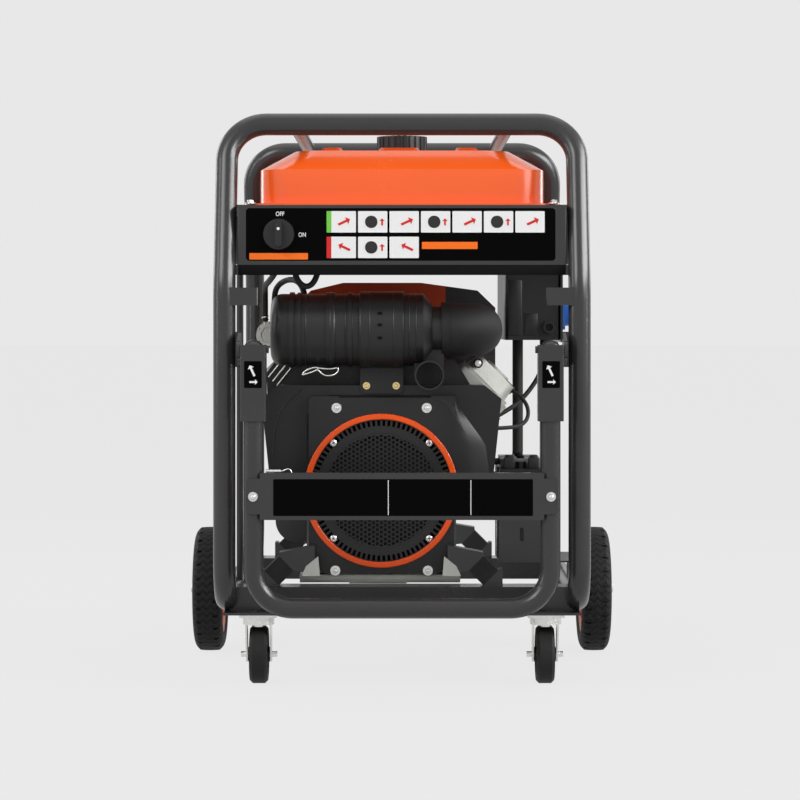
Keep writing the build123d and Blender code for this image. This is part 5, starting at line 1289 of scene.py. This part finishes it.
class GENERATOR_OT_stage(Operator):
    """Pale floor, soft studio light and the camera at the photograph's place."""

    bl_idname = "generator.stage"
    bl_label = "Stage"

    def execute(self, context):
        scene = context.scene
        mesh = bpy.data.meshes.new("floor")
        mesh.from_pydata([(-30, -30, 0), (30, -30, 0), (30, 60, 0), (-30, 60, 0)], [], [(0, 1, 2, 3)])
        floor = new_object("floor", mesh)
        g = Finish("floor_sheet")
        tone = g.mix(g.noise(40.0), grey(0.53), grey(0.57))
        matt = g.add("ShaderNodeBsdfDiffuse", {}, {"Color": tone})
        flat = g.add("ShaderNodeEmission", {}, {"Color": grey(0.842), "Strength": 1.0})
        sheet = g.add("ShaderNodeMixShader", {}, [g.seen() * 0.92, matt, flat])
        g.add("ShaderNodeOutputMaterial", {}, {"Surface": sheet})
        mesh.materials.append(FINISHES["floor_sheet"])
        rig.stage(floor)

        world = bpy.data.worlds.new("studio")
        scene.world = world
        world.use_nodes = True
        world.node_tree.nodes.clear()
        g = Graph(world.node_tree)
        light, wall = [
            g.add("ShaderNodeBackground", {}, {"Color": grey(tone), "Strength": strength})
            for tone, strength in ((1.0, 0.40), (0.805, 1.0))
        ]
        g.add("ShaderNodeOutputWorld", {}, [g.add("ShaderNodeMixShader", {}, [g.seen(), light, wall])])

        low, middle, side = (0.0, 0.0, 0.5), (0.0, 0.0, 0.6), (0.0, -0.4, 0.8)
        for name, place, aim, wide, tall, power in (
            ("key_softbox", (-2.6, -3.4, 3.0), low, 2.0, 2.0, 95.0),
            ("fill_softbox", (3.2, -2.6, 2.0), low, 2.0, 2.0, 55.0),
            ("top_softbox", (0.0, 0.2, 3.6), low, 3.2, 3.2, 26.0),
            ("left_strip", (-2.6, -0.9, 1.3), middle, 0.24, 1.6, 12.0),
            ("right_strip", (2.6, -0.9, 1.3), middle, 0.24, 1.6, 16.0),
            ("side_gloss", (2.42, -1.29, 2.05), side, 3.0, 1.2, 120.0),
            ("left_rim", (-2.4, 2.0, 1.6), middle, 0.80, 1.6, 16.0),
            ("right_rim", (2.4, 2.0, 1.6), middle, 0.80, 1.6, 16.0),
        ):
            lamp = bpy.data.lights.new(name, "AREA")
            assign(lamp, shape="RECTANGLE", size=wide, size_y=tall, energy=power)
            turn = (Vector(aim) - Vector(place)).to_track_quat("-Z", "Y").to_euler()
            lit = name != "side_gloss"
            assign(new_object(name, lamp), location=place, rotation_euler=turn, visible_diffuse=lit)

        lens = bpy.data.cameras.new("camera")
        assign(lens, lens=119.1, sensor_width=36.0, shift_x=-0.0025, shift_y=-0.1, clip_end=200.0)
        scene.camera = new_object("camera", lens)
        level = (math.radians(90.0), 0.0, 0.0)
        assign(scene.camera, location=(0.0, -4.95, 0.628), rotation_euler=level)
        scene.view_settings.view_transform = "Standard"
        return {"FINISHED"}


class GENERATOR_PT_panel(Panel):
    """Lists the generator's sizes, colours and pieces."""

    bl_idname = "GENERATOR_PT_panel"
    bl_label = "Portable Generator"
    bl_space_type = "VIEW_3D"
    bl_region_type = "UI"
    bl_category = "Generator"

    def draw(self, context):
        for group in (context.scene.generator_finishes, context.scene.generator_sizes):
            column = self.layout.column()
            for key in group.bl_rna.properties.keys():
                if key not in {"rna_type", "name"}:
                    column.prop(group, key)
        for operator in OPERATORS:
            self.layout.operator(operator.bl_idname)


OPERATORS = [item for name, item in list(globals().items()) if name.startswith("GENERATOR_OT_")]
CLASSES = [GeneratorFinishes, GeneratorSizes, *OPERATORS, GENERATOR_PT_panel]


def register():
    for item in CLASSES:
        bpy.utils.register_class(item)
    bpy.types.Scene.generator_finishes = PointerProperty(type=GeneratorFinishes)
    bpy.types.Scene.generator_sizes = PointerProperty(type=GeneratorSizes)


def unregister():
    del bpy.types.Scene.generator_sizes
    del bpy.types.Scene.generator_finishes
    for item in reversed(CLASSES):
        bpy.utils.unregister_class(item)


def main():
    """Builds the dressed generator and writes both boxes."""
    register()
    for operator in OPERATORS:
        group, name = operator.bl_idname.split(".")
        getattr(getattr(bpy.ops, group), name)()
    boxes = {"cad": CAD_BOX, "visual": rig.bounds()}
    sizes = {key: [list(low), list(high)] for key, (low, high) in boxes.items()}
    with open(SIZE_FILE, "w") as file:
        json.dump(sizes, file)


if __name__ == "__main__":
    main()
